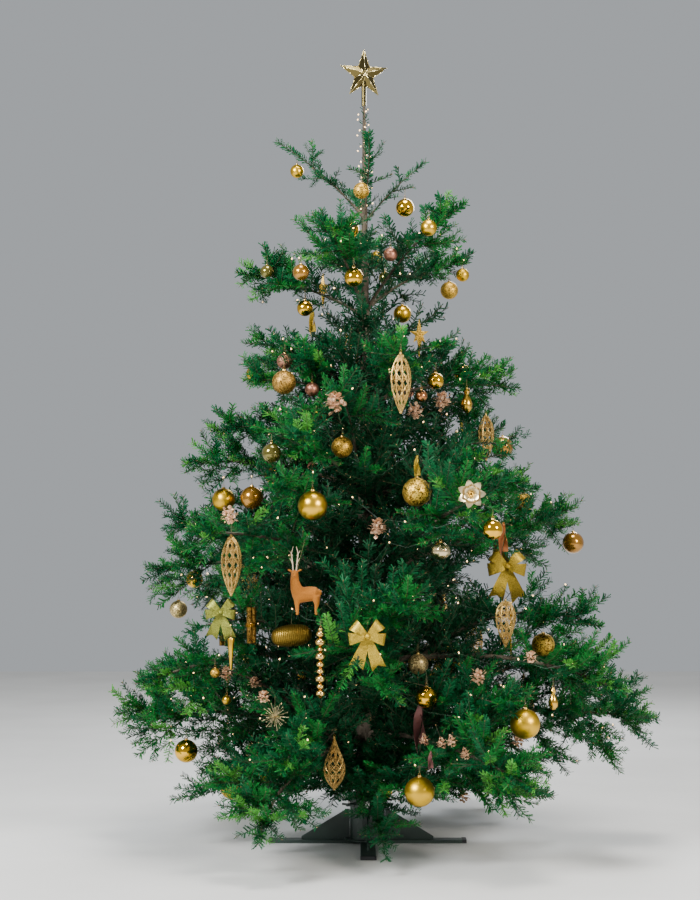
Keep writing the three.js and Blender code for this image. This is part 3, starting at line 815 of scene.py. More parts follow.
def needle_tree():
    """Needles along shoots: parted below, leaning forward, their flat side to the sky."""
    t = Tree("needle_coat", "Object", "Material", "Spacing", "Length", "Spread", "Lean", "Seed")
    curve = t.add("GeometryNodeMeshToCurve", None, {"Mesh": t["Geometry"]})
    points = t.add("GeometryNodeCurveToPoints", {"mode": "LENGTH"}, {"Curve": curve, "Length": t["Spacing"]})
    tangent = points.outputs["Tangent"]
    dip = t.vector("SCALE", tangent, t.vector("DOT_PRODUCT", tangent, (0, 0, 1)))
    sky = t.vector("NORMALIZE", t.vector("SUBTRACT", (0.01, 0, 1), dip))
    across = t.vector("CROSS_PRODUCT", tangent, sky)
    turn = t.number("MULTIPLY", t.random(-1, 1, 0), t["Spread"])
    radial = t.vector(
        "ADD",
        t.vector("SCALE", sky, t.number("COSINE", turn)),
        t.vector("SCALE", across, t.number("SINE", turn)),
    )
    lean = t.number("ADD", t["Lean"], t.random(*NEEDLE_LEAN_RANGE, 1))
    direction = t.vector(
        "ADD",
        t.vector("SCALE", tangent, t.number("COSINE", lean)),
        t.vector("SCALE", radial, t.number("SINE", lean)),
    )
    offset = t.vector("SCALE", radial, t.number("MULTIPLY", t.attribute("girth"), 0.8))
    seated = t.add("GeometryNodeSetPosition", None, {"Geometry": points.outputs["Points"], "Offset": offset})
    outward, sideways = NEEDLE_TWIST_RANGES
    twist = t.vector("SCALE", radial, t.random(*outward, 3))
    twist = t.vector("ADD", twist, t.vector("SCALE", across, t.random(*sideways, 4)))
    faced = t.add(
        "FunctionNodeAxesToRotation", {"primary_axis": "Y", "secondary_axis": "Z"},
        {"Primary Axis": direction, "Secondary Axis": t.vector("ADD", sky, twist)},
    )
    length = t.number("MULTIPLY", t["Length"], t.random(*NEEDLE_LENGTH_RANGE, 2))
    size = t.number("MULTIPLY", t.attribute("size"), length)
    t.place(seated, faced, size)
    return t


def twig_tree():
    """A tapering skin round each shoot's line."""
    t = Tree("twig_skin", "Material", "Sides")
    curve = t.add("GeometryNodeMeshToCurve", None, {"Mesh": t["Geometry"]})
    circle = t.add("GeometryNodeCurvePrimitiveCircle", None, {"Resolution": t["Sides"], "Radius": 1.0})
    skin = t.add(
        "GeometryNodeCurveToMesh", None,
        {"Curve": curve, "Profile Curve": circle, "Scale": t.attribute("girth"), "Fill Caps": True},
    )
    t.end(skin)
    return t


def tip_tree():
    """One small piece on the tip of each line, in line with it."""
    t = Tree("tip_pieces", "Object", "Material", "Length")
    curve = t.add("GeometryNodeMeshToCurve", None, {"Mesh": t["Geometry"]})
    tips = t.add("GeometryNodeCurveEndpointSelection", None, {"Start Size": 0, "End Size": 1})
    tangent = t.add("GeometryNodeInputTangent")
    turned_to = t.add("FunctionNodeAlignRotationToVector", {"axis": "Z"}, {"Vector": tangent})
    t.place(curve, turned_to, t["Length"], Selection=tips)
    return t


class Value:
    """A number socket that Python's own signs add Math nodes to."""

    def __init__(self, finish, socket):
        self.finish = finish
        self.socket = socket

    def math(self, operation, *values):
        sockets = {i: v.socket if isinstance(v, Value) else v for i, v in enumerate(values)}
        node = self.finish.add("ShaderNodeMath", {"operation": operation}, sockets)
        return Value(self.finish, node.outputs[0])

    def __add__(self, other):
        return self.math("ADD", self, other)

    def __sub__(self, other):
        return self.math("SUBTRACT", self, other)

    def __rsub__(self, other):
        return self.math("SUBTRACT", other, self)

    def __mul__(self, other):
        return self.math("MULTIPLY", self, other)

    __radd__ = __add__
    __rmul__ = __mul__


class Finish(Nodes):
    """A node-based material on object coordinates. Numbers that are the same all over sit on the shader."""

    def __init__(self, name, **constants):
        self.material = bpy.data.materials.new(name)
        self.material.use_nodes = True
        self.tree = self.material.node_tree
        self.shader = self.tree.nodes["Principled BSDF"]
        for label, value in constants.items():
            self.shader.inputs[label.replace("_", " ")].default_value = value
        self.place = self.add("ShaderNodeTexCoord").outputs["Object"]

    def noise(self, scale, detail=2.0, stretch=(1, 1, 1)):
        place = self.add("ShaderNodeMapping", None, {"Vector": self.place, "Scale": stretch}).outputs[0]
        inputs = {"Vector": place, "Scale": scale, "Detail": detail}
        return Value(self, self.add("ShaderNodeTexNoise", None, inputs).outputs[0])

    def cells(self, scale, output="Distance"):
        inputs = {"Vector": self.place, "Scale": scale}
        socket = self.add("ShaderNodeTexVoronoi", None, inputs).outputs[output]
        return Value(self, socket) if output == "Distance" else socket

    def grey(self, colour):
        return Value(self, self.add("ShaderNodeSeparateColor", None, {"Color": colour}).outputs[0])

    def ramp(self, factor, *stops):
        """A colour that runs through stops of (place, colour)."""
        node = self.add("ShaderNodeValToRGB", None, {"Fac": factor})
        elements = node.color_ramp.elements
        while len(elements) > 1:
            elements.remove(elements[-1])
        elements[0].position, elements[0].color = stops[0][0], (*stops[0][1], 1)
        for position, colour in stops[1:]:
            elements.new(position).color = (*colour, 1)
        return node.outputs["Color"]

    def colour(self, value):
        return self.feed("Base Color", (*value, 1) if isinstance(value, tuple) else value)

    def rough(self, value):
        return self.feed("Roughness", value)

    def feed(self, label, value):
        self.give(self.shader.inputs[label], value)
        return self

    def relief(self, height, depth):
        bump = self.add("ShaderNodeBump", None, {"Height": height, "Distance": depth, "Strength": 1.0})
        return self.feed("Normal", bump)


def fir_bark():
    """Smooth grey-brown bark with paler patches, fine cracks along it and small blisters."""
    f = Finish("fir_bark", Metallic=0.0)
    patches = f.noise(9, 4, (1, 1, 0.6))
    cracks = f.noise(70, 6, (1, 1, 0.16))
    blisters = f.cells(160)
    tone = patches * 0.6 + cracks * 0.4
    f.colour(f.ramp(
        tone, (0.3, (0.02, 0.015, 0.01)), (0.46, (0.05, 0.037, 0.022)), (0.58, (0.08, 0.062, 0.038)),
        (0.72, (0.13, 0.105, 0.068)),
    ))
    f.rough(0.95 - 0.2 * patches)
    return f.relief(cracks * 1.3 - blisters * 0.35, 0.004).material


def young_bark():
    """The thinner, browner and greener bark of twigs."""
    f = Finish("young_bark", Metallic=0.0)
    grain = f.noise(240, 3)
    f.colour(f.ramp(f.noise(26, 2), (0.35, (0.03, 0.024, 0.012)), (0.65, (0.045, 0.06, 0.018))))
    f.rough(0.9 - 0.15 * grain)
    return f.relief(grain, 0.0006).material


def needle_finish(tone):
    """Waxy green needles. Each tone is one plain green, dealt out by shoot; the deep tone carries painted
    shade and the light tones painted highlight.
    """
    f = Finish("needles_" + tone, Roughness=0.5, Specular_IOR_Level=0.15)
    return f.colour(COATS[tone].colour).material


def bud_finish():
    f = Finish("bud_scales", Roughness=0.6)
    f.colour(f.ramp(f.noise(90, 2), (0.4, (0.16, 0.07, 0.03)), (0.6, (0.3, 0.15, 0.06))))
    return f.material


def powder_coat():
    """Dark green powder coat with a fine orange-peel surface, dusty in soft patches."""
    f = Finish("powder_coat", Metallic=0.0, Coat_Weight=0.2, Coat_Roughness=0.3)
    peel = f.noise(420, 2)
    dust = f.noise(7, 4)
    f.colour(f.ramp(dust, (0.35, (0.012, 0.028, 0.02)), (0.7, (0.028, 0.05, 0.038))))
    f.rough(0.38 + 0.2 * dust)
    return f.relief(peel, 0.0004).material


def needle_shape(coat):
    """One needle of length 1: a narrow foot and a strap that ends blunt."""
    foot, end = coat.foot, coat.end
    corners = [(-foot, 0, 0), (foot, 0, 0), (end, 0.95, 0.02), (-end, 1.0, 0.02)]
    return mesh_object("needle_shape", corners, [(0, 1, 2), (0, 2, 3)])


def bud_shape():
    """A pointed bud of length 1, with three sides."""
    turns = [2 * math.pi * i / 3 for i in range(3)]
    ring = [(0.28 * math.cos(a), 0.28 * math.sin(a), 0.4) for a in turns]
    faces = [(3, (i + 1) % 3, i) for i in range(3)] + [(4, i, (i + 1) % 3) for i in range(3)]
    return mesh_object("bud_shape", ring + [(0, 0, -0.1), (0, 0, 1)], faces)


def skin(rings):
    """Vertices and faces of a closed skin over rings of equal count, with a point at each end."""
    sides = len(rings[0])
    vertices = [p for ring in rings for p in ring]
    faces = []
    for k in range(len(rings) - 1):
        for i in range(sides):
            j = (i + 1) % sides
            low, high = k * sides, (k + 1) * sides
            faces.append((low + i, low + j, high + j, high + i))
    vertices += [np.mean(rings[0], axis=0), np.mean(rings[-1], axis=0)]
    foot, tip = len(vertices) - 2, len(vertices) - 1
    last = (len(rings) - 1) * sides
    faces += [(foot, (i + 1) % sides, i) for i in range(sides)]
    faces += [(tip, last + i, last + (i + 1) % sides) for i in range(sides)]
    return vertices, faces


def ring_round(centre, direction, radii):
    """Points round a centre, counter-clockwise about a direction, one for each radius."""
    reference = np.array([1.0, 0, 0]) if abs(direction[2]) > 0.9 else UP
    a = unit(np.cross(reference, direction))
    b = np.cross(direction, a)
    turns = 2 * math.pi * np.arange(len(radii)) / len(radii)
    return centre + np.outer(radii * np.cos(turns), a) + np.outer(radii * np.sin(turns), b)


def rough_radii(centre, direction, radius, sides, depth):
    """A ring's radii with the bark's relief: shallow ridges along the limb, knots and hollows."""
    plain = ring_round(centre, direction, np.full(sides, radius))
    radii = []
    for p in plain:
        ridge = noise.noise(Vector((p[0] * 55, p[1] * 55, p[2] * 9)))
        knot = noise.noise(Vector(p) * 22)
        radii.append(radius * (1 + depth * (0.55 * ridge + 0.45 * knot)))
    return np.array(radii)


# The bark's relief, and the swellings where limbs leave what bears them
TRUNK_RINGS = 300
TRUNK_SIDES = 30
TRUNK_RELIEF = 0.05
COLLAR_SWELL = 0.09
COLLAR_HEIGHT = 0.028
LIMB_RINGS = 30
LIMB_SIDES = 9
LIMB_RELIEF = 0.09
FLARE = 0.55
FLARE_LENGTH = 0.035
TWIG_SIDES = 3
BUD_LENGTH = 0.008


def trunk_piece():
    """The trunk with its bark's relief, and a collar where each whorl leaves it."""
    rings = []
    collars = [whorl_height(k) for k in range(len(WHORLS))]
    for z in np.linspace(TRUNK_CUT_Z, TRUNK_TOP_Z, TRUNK_RINGS):
        centre = trunk_centre(z)
        swell = sum(math.exp(-(((z - c) / COLLAR_HEIGHT) ** 2)) for c in collars)
        radius = trunk_radius(z) * (1 + COLLAR_SWELL * swell)
        depth = TRUNK_RELIEF if TRUNK_CUT_Z < z < TRUNK_TOP_Z else 0
        rings.append(ring_round(centre, UP, rough_radii(centre, UP, radius, TRUNK_SIDES, depth)))
    return mesh_object("trunk_bark", *skin(rings))


def limb_piece(name, stems):
    """Limbs with their bark's relief, joined into one piece. Each swells where it leaves what bears it."""
    vertices, faces = [], []
    for stem in stems:
        rings = []
        for share in np.linspace(0, STEM_END, LIMB_RINGS):
            centre = stem.point(share)
            direction = stem.direction(share)
            flare = 1 + FLARE * math.exp(-share * stem.reach / FLARE_LENGTH)
            radii = rough_radii(centre, direction, stem.radius(share) * flare, LIMB_SIDES, LIMB_RELIEF)
            rings.append(ring_round(centre, direction, radii))
        points, quads = skin(rings)
        faces += [tuple(len(vertices) + i for i in f) for f in quads]
        vertices += list(points)
    return mesh_object(name, vertices, faces)


def smooth(piece):
    piece.data.polygons.foreach_set("use_smooth", [True] * len(piece.data.polygons))


def finish_piece(piece, slot, material=None, replaced=()):
    """Gives a piece its material, attaches it to the root and hides the parts that it replaces. The slot is
    not used.
    """
    if material:
        piece.data.materials.clear()
        piece.data.materials.append(material)
    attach(piece, "root")
    if replaced:
        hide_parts(*replaced)
    return piece


def foliage_nodes(k):
    return [f"foliage_{k + 1}_{i + 1}" for i in range(WHORLS[k].count)]


def grow_plant():
    """The growth of every mass, and of the trunk between and below the whorls."""
    grown = [MassGrowth(i) for i in range(len(BOUGHS))]
    for k in range(len(WHORLS) - 1):
        first = sum(whorl.count for whorl in WHORLS[:k])
        low = whorl_height(k) + WHORL_ROOM
        high = min(whorl_height(k + 1) - WHORL_ROOM, TRUNK_TWIGS_BELOW_Z)
        step = TRUNK_TWIG_STEP if k else LOW_TRUNK_TWIG_STEP
        if low < high:
            grown.append(TrunkGrowth(first, k + 1, low, high, step, TRUNK_TWIG_RISE, TRUNK_TWIG_SHARE))
    high = FIRST_WHORL_Z + WHORL_ROOM
    grown.append(TrunkGrowth(
        1, 0, LOWEST_TWIG_Z, high, LOWEST_TWIG_STEP, LOWEST_TWIG_RISE, LOWEST_TWIG_SHARE,
    ))
    return grown


def dress_plant(grown, dresser):
    """Trunk, limbs, twigs, buds and needles, in place of the source's solids."""
    bark = fir_bark()
    twig_bark = young_bark()
    trunk = trunk_piece()
    smooth(trunk)
    finish_piece(trunk, "bark", bark, ["trunk"])
    limbs = limb_piece("bough_bark", [stem for bough in BOUGHS for stem in bough.stems])
    smooth(limbs)
    nodes = [f"bough_{b.label}" for b in BOUGHS if b.whorl.bare]
    finish_piece(limbs, "bark", bark, nodes)

    needles = needle_tree()
    twigs = twig_tree()
    tips = tip_tree()
    shapes = {tone: needle_shape(coat) for tone, coat in COATS.items()}
    bud = bud_shape()
    finishes = {tone: needle_finish(tone) for tone in COATS}
    bud_scales = bud_finish()
    for k in range(len(WHORLS)):
        masses = [g for g in grown if g.rank == k]
        lines = [s for g in masses for s in g.twigs]
        shoots = lines + [s for g in masses for s in g.shoots]
        base = skeleton(f"lines_{k + 1}", shoots)
        skins = twigs.grow(f"twigs_{k + 1}", base, Material=twig_bark, Sides=TWIG_SIDES)
        finish_piece(skins, "bark", None, foliage_nodes(k))
        drop(base)
        budded = [s for s in shoots if len(s.points) > 2]
        base = skeleton(f"tips_{k + 1}", budded)
        buds = tips.grow(f"buds_{k + 1}", base, Object=bud, Material=bud_scales, Length=BUD_LENGTH)
        finish_piece(buds, "bark")
        drop(base)
        coated = dresser.clear_coat([s for g in masses for s in g.shoots + g.coats])
        coated += dresser.clear_coat([s for g in masses for s in g.stem_coats], False)
        if k == len(WHORLS) - 1:
            coated.append(leader_shoot())
        for tone, coat in COATS.items():
            chosen = [s for s in coated if s.tone == tone]
            if not chosen:
                continue
            base = skeleton(f"lines_{k + 1}_{tone}", chosen)
            made = needles.grow(
                f"needles_{k + 1}_{tone}", base, Object=shapes[tone], Material=finishes[tone],
                Spacing=coat.spacing, Length=coat.length, Spread=math.radians(NEEDLE_SPREAD),
                Lean=math.radians(NEEDLE_LEAN), Seed=10 * k,
            )
            finish_piece(made, "needles", None, foliage_nodes(k))
            drop(base)
    drop(bud, *shapes.values())


def leader_shoot():
    """The bare leader above the top whorl, with short needles on it."""
    heights = np.linspace(LEADER_BARE_BELOW_Z, LEADER_TOP_Z, 12)
    points = np.array([trunk_centre(z) for z in heights])
    girths = np.array([trunk_radius(z) for z in heights])
    sizes = np.full(12, LEADER_NEEDLE_LENGTH / NEEDLE_LENGTH)
    return Shoot(points, girths, sizes, "deep")


# The ornaments. Each kind is built hanging from the origin, its front to -Y, with its thread on top
Part = namedtuple("Part", "vertices faces finish")  # one skin, and the finish it takes
STRING = 0.03  # the length of a loop of thread
THREAD_RADIUS = 0.0005
THREAD_BULGE = 0.0022
EYE_RADIUS = 0.0045
EYE_WIRE = 0.0007
FITTINGS = ("thread", "cap_gold")  # the finishes of what an ornament hangs by
GOLDEN_TURN = 2.4  # about the golden angle, in radians


def spiral(radii, turns, heights):
    """Points round the vertical, each at its radius, turn and height."""
    return np.column_stack([radii * np.cos(turns), radii * np.sin(turns), heights * np.ones(len(turns))])


def lathe(profile, sides=20):
    """A closed skin turned about the vertical. The profile runs up as (radius, height)."""
    turns = 2 * math.pi * np.arange(sides) / sides
    return skin([spiral(max(radius, 1e-5), turns, height) for radius, height in profile])


def sphere(radius, centre=(0, 0, 0), sides=10, steps=7):
    profile = [(radius * math.sin(t), -radius * math.cos(t)) for t in np.linspace(0, math.pi, steps)]
    return moved(lathe(profile, sides), centre)


def unit_rows(rows):
    return rows / np.linalg.norm(rows, axis=1, keepdims=True)


def tube(points, radius, sides=6):
    """A skin round a line of points, of one radius or a radius for each point."""
    points = np.array(points, float)
    radii = np.broadcast_to(radius, len(points))
    ways = unit_rows(np.gradient(points, axis=0))
    across = unit(np.cross(ways[0], UP if abs(ways[0][2]) < 0.9 else (1, 0, 0)))
    turns = 2 * math.pi * np.arange(sides) / sides
    rings = []
    for point, way, r in zip(points, ways, radii):
        across = unit(across - way * across.dot(way))
        other = np.cross(way, across)
        rings.append(point + r * (np.outer(np.cos(turns), across) + np.outer(np.sin(turns), other)))
    return skin(rings)


def wire_ring(centre, normal, radius, thickness, steps=20, sides=5):
    """A closed ring of round wire."""
    normal = unit(np.array(normal, float))
    a = unit(np.cross(normal, UP if abs(normal[2]) < 0.9 else (1, 0, 0)))
    b = np.cross(normal, a)
    vertices = []
    faces = []
    for i in range(steps):
        turn = 2 * math.pi * i / steps
        out = a * math.cos(turn) + b * math.sin(turn)
        for j in range(sides):
            roll = 2 * math.pi * j / sides
            radial = out * (radius + thickness * math.cos(roll))
            vertices.append(np.array(centre) + radial + normal * thickness * math.sin(roll))
            k = (i + 1) % steps
            m = (j + 1) % sides
            faces.append((i * sides + j, k * sides + j, k * sides + m, i * sides + m))
    return vertices, faces


def ribbon(centres, across, normals, widths, thickness=0.0007):
    """A closed skin with its width along across and its thickness along the normals."""
    rings = []
    for c, a, n, w in zip(centres, across, normals, widths):
        half = np.array(a) * w / 2
        deep = np.array(n) * thickness / 2
        rings.append(np.array([c - half - deep, c + half - deep, c + half + deep, c - half + deep]))
    return skin(rings)


def moved(shape, offset=(0, 0, 0), turn=None):
    vertices, faces = shape
    vertices = np.array(vertices, float)
    if turn is not None:
        vertices = vertices @ np.array(turn).T
    return vertices + np.array(offset), faces


def about(axis, degrees):
    return np.array(Matrix.Rotation(math.radians(degrees), 3, axis))


def thread(end):
    """The thread from the twig down to a piece."""
    return Part(*tube(np.linspace((0, 0, 0), end, 5), THREAD_RADIUS, 3), "thread")


def fittings(top, cap_radius):
    """The crimped cap on an ornament's top, its wire eye, and the loop of thread above it."""
    height = 0.6 * cap_radius
    cap = [
        (0, top - 0.2 * height), (cap_radius, top - 0.2 * height), (cap_radius * 1.04, top + 0.3 * height),
        (cap_radius * 0.9, top + height), (cap_radius * 0.35, top + height * 1.15), (0, top + height * 1.2),
    ]
    eye = np.array([0, 0, top + height * 1.2 + EYE_RADIUS * 0.9])
    share = np.linspace(0, 1, 7)
    sides = []
    for hand in (-1, 1):
        bulge = hand * THREAD_BULGE * np.sin(math.pi * share)
        line = np.column_stack([bulge, 0.4 * bulge, (eye[2] + EYE_RADIUS) * share])
        sides.append(Part(*tube(line, THREAD_RADIUS, 3), "thread"))
    ring = wire_ring(eye, (0, 1, 0), EYE_RADIUS, EYE_WIRE, 12, 4)
    return [Part(*lathe(cap, 14), "cap_gold"), Part(*ring, "cap_gold")] + sides


def body_top(size):
    """How high the body of a hanging piece reaches, below its thread, eye and cap."""
    return -STRING - 0.009 - 0.05 * size


def ball(size, finish):
    radius = size / 2
    top = body_top(size)
    sides, steps = (28, 17) if size > 0.05 else (18, 11)
    return [Part(*sphere(radius, (0, 0, top - radius), sides, steps), finish)] + fittings(
        top - 0.01 * size, size * 0.085,
    )


def ribbed_ball(size, finish):
    """A ball pressed into segments, as a gourd is."""
    top = body_top(size)
    parts = ball(size, finish)
    vertices = np.array(parts[0].vertices)
    turn = np.arctan2(vertices[:, 1], vertices[:, 0])
    depth = 1 - 0.09 * (1 - np.abs(np.cos(3.5 * turn)))
    vertices[:, :2] *= depth[:, None]
    vertices[:, 2] = top - size / 2 + 0.88 * (vertices[:, 2] - top + size / 2) + 0.06 * size
    return [parts[0]._replace(vertices=vertices)] + parts[1:]


def turned_piece(size, finish, profile, sides=18):
    """A piece turned from a profile of (radius, depth below its top), as shares of its length."""
    top = body_top(0.4 * size)
    shape = lathe([(r * size, top - h * size) for r, h in reversed(profile)], sides)
    return [Part(*shape, finish)] + fittings(top - 0.002, size * 0.03 + 0.002)


def cone(size, finish):
    """A long taper that hangs point down."""
    profile = [(0, 0), (0.1, 0.01), (0.11, 0.05), (0.09, 0.3), (0.055, 0.7), (0.02, 1), (0, 1)]
    return turned_piece(size, finish, profile)


def drop_figure(size, finish):
    """A small drop with a waist."""
    profile = [
        (0, 0), (0.09, 0.02), (0.13, 0.12), (0.08, 0.25), (0.17, 0.42), (0.23, 0.62), (0.2, 0.82),
        (0.09, 0.96), (0, 1),
    ]
    return turned_piece(size, finish, profile)


def bead_rod(size, finish):
    """Beads of several sizes on one rod, with a collar below each."""
    profile = [(0, 0)]
    depth = 0.02
    for i in range(9):
        radius = 0.06 + 0.024 * math.sin(2.4 * i) * (1 - i / 12)
        for t in np.linspace(0.15, math.pi - 0.15, 7):
            profile.append((radius * math.sin(t) + 0.008, depth + radius * (1 - math.cos(t))))
        depth += 2 * radius
        profile += [(0.016, depth), (0.04, depth + 0.006), (0.016, depth + 0.012)]
        depth += 0.014
    profile = [(r, h / depth) for r, h in profile]
    return turned_piece(size, finish, profile + [(0, 1)], 12)


def twisted_rod(size, finish):
    """Three strands wound round each other that taper to a point."""
    top = body_top(0.2 * size)
    share = np.linspace(0, 1, 46)
    radius = 0.017 * size * (1 - 0.85 * share)
    parts = []
    for start in (0, 120, 240):
        turn = math.radians(start) + 16 * math.pi * share
        line = spiral(0.6 * radius, turn, top - size * share)
        parts.append(Part(*tube(line, 0.75 * radius, 5), finish))
    return parts + fittings(top - 0.003, 0.02 * size)


def openwork(size, finish, waist=0.43, width=0.32):
    """A cage of crossing wires on the outline of a spindle, widest at its waist."""
    top = -STRING - 0.012
    bend = math.log(0.5) / math.log(waist)

    def radius_at(share):
        return 0.5 * width * size * np.sin(math.pi * share**bend) ** 0.9 + 0.0016

    share = np.linspace(0.02, 0.98, 20)
    radii = radius_at(share)
    parts = []
    for i in range(9):
        for twist, thickness in ((0, 0.012), (4.2, 0.009), (-4.2, 0.009)):
            turn = 2 * math.pi * i / 9 + twist * share
            line = spiral(radii, turn, top - size * share)
            parts.append(Part(*tube(line, thickness * size, 4), finish))
    for at in (0.25, waist, 0.75):
        ring = wire_ring((0, 0, top - size * at), (0, 0, 1), radius_at(at), 0.006 * size, 20, 4)
        parts.append(Part(*ring, finish))
    for end in (0, 1):
        parts.append(Part(*sphere(0.026 * size, (0, 0, top - size * end)), finish))
    return parts + fittings(top + 0.02 * size, 0.0035)


def top_heavy(size, finish):
    return openwork(size, finish, 0.36, 0.42)


def teardrop(size, finish):
    return openwork(size, finish, 0.62, 0.4)


def in_front(degrees):
    """A way in the front's plane, and the way square to it there."""
    angle = math.radians(degrees)
    way = np.array([math.cos(angle), 0, math.sin(angle)])
    return way, np.array([-way[2], 0, way[0]])


def bow(size, finish):
    """Loops, a knot and two tails cut to a swallow's tail."""
    knot = np.array([0, -0.012, -0.03])
    turn = np.linspace(0, 2 * math.pi, 15)
    parts = [thread(knot)]
    for degrees, share in ((140, 1.0), (188, 1.0), (44, 1.0), (-10, 0.96)):
        reach = 0.43 * size * share
        way, wide = in_front(degrees)
        out = reach * (1 - np.cos(turn)) / 2
        centres = knot + np.outer(out, way) - np.outer(0.12 * size * np.sin(turn), (0, 1, 0))
        normals = unit_rows(np.cross(unit_rows(np.gradient(centres, axis=0)), wide))
        widths = 0.29 * size * (0.25 + 0.75 * (out / reach) ** 0.8)
        parts.append(Part(*ribbon(centres, [wide] * 15, normals, widths), finish))
    for degrees, reach in ((-110, 0.76), (-70, 0.8)):
        way, wide = in_front(degrees)
        share = np.linspace(0, 1, 9)
        wave = 0.03 * size * np.sin(7 * share) - 0.01 * size
        centres = knot + np.outer(reach * size * share, way) + np.outer(wave, (0, 1, 0))
        widths = size * (0.1 + 0.24 * share**0.7)
        for hand, inner in ((-1, [33, 34]), (1, [32, 35])):
            middles = centres + np.outer(hand * widths / 4, wide)
            vertices, faces = ribbon(middles, [wide] * 9, [(0, -1, 0)] * 9, widths / 2)
            vertices = np.array(vertices)
            vertices[inner] -= way * 0.13 * size
            vertices[-1] = vertices[32:36].mean(0)
            parts.append(Part(vertices, faces, finish))
    parts.append(Part(*sphere(0.075 * size, knot - (0, 0.01, 0)), finish))
    return parts


def streamer(size, finish):
    """Two lengths of ribbon that hang in soft waves and turn as they fall."""
    fall = np.linspace(0, 1, 14)
    parts = []
    for shift, share in ((-0.07, 1.0), (0.06, 0.82)):
        turn = 2.2 * fall + 9 * shift
        centres = np.column_stack([
            shift * size * np.sin(2.2 * fall),
            0.06 * size * np.sin(5 * fall + 20 * shift),
            -size * share * fall,
        ])
        across = np.column_stack([np.cos(turn), np.sin(turn), np.zeros(14)])
        normals = np.column_stack([np.sin(turn), -np.cos(turn), np.zeros(14)])
        widths = 0.17 * size * (0.4 + 0.6 * np.minimum(1, 4 * fall))
        parts.append(Part(*ribbon(centres, across, normals, widths), finish))
    parts.append(Part(*sphere(0.05 * size, (0, -0.004, -0.01)), finish))
    return parts


def petal(length, width):
    """A pointed petal that lies along +X and cups a little."""
    rows = [(0, 0.12, 0), (0.35, 0.8, 0.06), (0.65, 0.9, 0.12), (0.88, 0.5, 0.12), (1, 0.02, 0.08)]
    centres = np.array([(length * x, 0, length * z) for x, _, z in rows])
    widths = [width * w for _, w, _ in rows]
    return ribbon(centres, [(0, 1, 0)] * 5, [(0, 0, 1)] * 5, widths, 0.0008)


def flower(size, finish):
    """Two rows of pointed petals round a few beads, facing the front."""
    parts = []
    for count, length, lift, start in ((7, 0.5, 14, 0), (6, 0.36, 38, 25)):
        for i in range(count):
            turn = about("X", 90) @ about("Z", start + 360 * i / count) @ about("Y", -lift)
            parts.append(Part(*moved(petal(length * size, 0.3 * size), (0, 0, 0), turn), finish))
    for i in range(6):
        at = 0.06 * size * np.array([math.cos(GOLDEN_TURN * i), -1.3, math.sin(GOLDEN_TURN * i)])
        parts.append(Part(*sphere(0.045 * size, at, 8), "polished_gold"))
    return [p._replace(vertices=np.array(p.vertices) + (0, -0.012, -0.012)) for p in parts]


def all_round(count):
    """Numbered ways that part evenly from a point to all sides."""
    for i in range(count):
        height = 1 - 2 * (i + 0.5) / count
        flat = math.sqrt(1 - height * height)
        yield i, np.array([flat * math.cos(GOLDEN_TURN * i), flat * math.sin(GOLDEN_TURN * i), height])


def cluster(size, finish):
    """Small leaves and beads crowded round one point."""
    draw = np.random.default_rng(int(size * 1e4))
    centre = np.array([0, -0.01, -0.3 * size])
    parts = []
    for i, out in all_round(36):
        at = centre + out * size * 0.4 * draw.uniform(0.4, 0.95)
        if i % 3:
            facing = Vector(out + draw.uniform(-0.6, 0.6, 3)).to_track_quat("X", "Z").to_matrix()
            parts.append(Part(*moved(petal(0.24 * size, 0.22 * size), at, facing), finish))
        else:
            parts.append(Part(*sphere(0.1 * size, at, 6, 5), finish))
    return parts


def burst(size, finish):
    """Fine rods that stand out on all sides of a point, with a bead on each."""
    centre = np.array([0, 0, -STRING - size / 2])
    parts = [thread(centre)]
    for i, out in all_round(40):
        tip = centre + out * size * (0.5 if i % 2 else 0.38)
        parts.append(Part(*tube([centre, (centre + tip) / 2, tip], 0.0011, 4), finish))
        parts.append(Part(*sphere(0.003, tip, 6, 5), finish))
    return parts


def ridged_star(radius, inner, depth, first=1.0):
    """A five-pointed star in the front's plane, with a ridge down each point."""
    outline = []
    for i in range(10):
        r = inner if i % 2 else radius
        if i == 0:
            r *= first
        turn = math.pi / 2 + math.pi * i / 5
        outline.append((r * math.cos(turn), 0, r * math.sin(turn)))
    faces = []
    for i in range(10):
        j = (i + 1) % 10
        faces.append((10, i, j))
        faces.append((11, j, i))
    return np.array(outline + [(0, -depth, 0), (0, depth, 0)]), faces


def long_star(size, finish):
    """A star whose top point is drawn out, over a long spike."""
    centre = np.array([0, 0, -STRING - 0.42 * size])
    spike = lathe([(0, -0.56 * size), (0.012 * size, -0.5 * size), (0.075 * size, -0.08 * size), (0, 0)], 5)
    return [
        Part(*moved(ridged_star(0.24 * size, 0.1 * size, 0.06 * size, 1.6), centre), finish),
        Part(*moved(spike, centre), finish), thread(centre),
    ]


def barrel(size, finish):
    """A wound oval that hangs level, with cords round it."""
    centre = np.array([0, 0, -STRING - 0.25 * size])
    lay = about("Y", 84)
    profile = [(0, -0.5 * size)]
    for t in np.linspace(0.12, math.pi - 0.12, 15):
        profile.append((0.27 * size * math.sin(t) ** 0.7, -0.5 * size * math.cos(t)))
    parts = [Part(*moved(lathe(profile + [(0, 0.5 * size)], 22), centre, lay), finish), thread(centre)]
    for shift in np.linspace(-0.42, 0.42, 19):
        radius = 0.27 * size * (1 - (shift / 0.5) ** 2) ** 0.35
        ring = wire_ring(centre + lay @ (UP * shift * size), lay @ UP, radius, 0.0022, 24, 4)
        parts.append(Part(*ring, finish))
    return parts


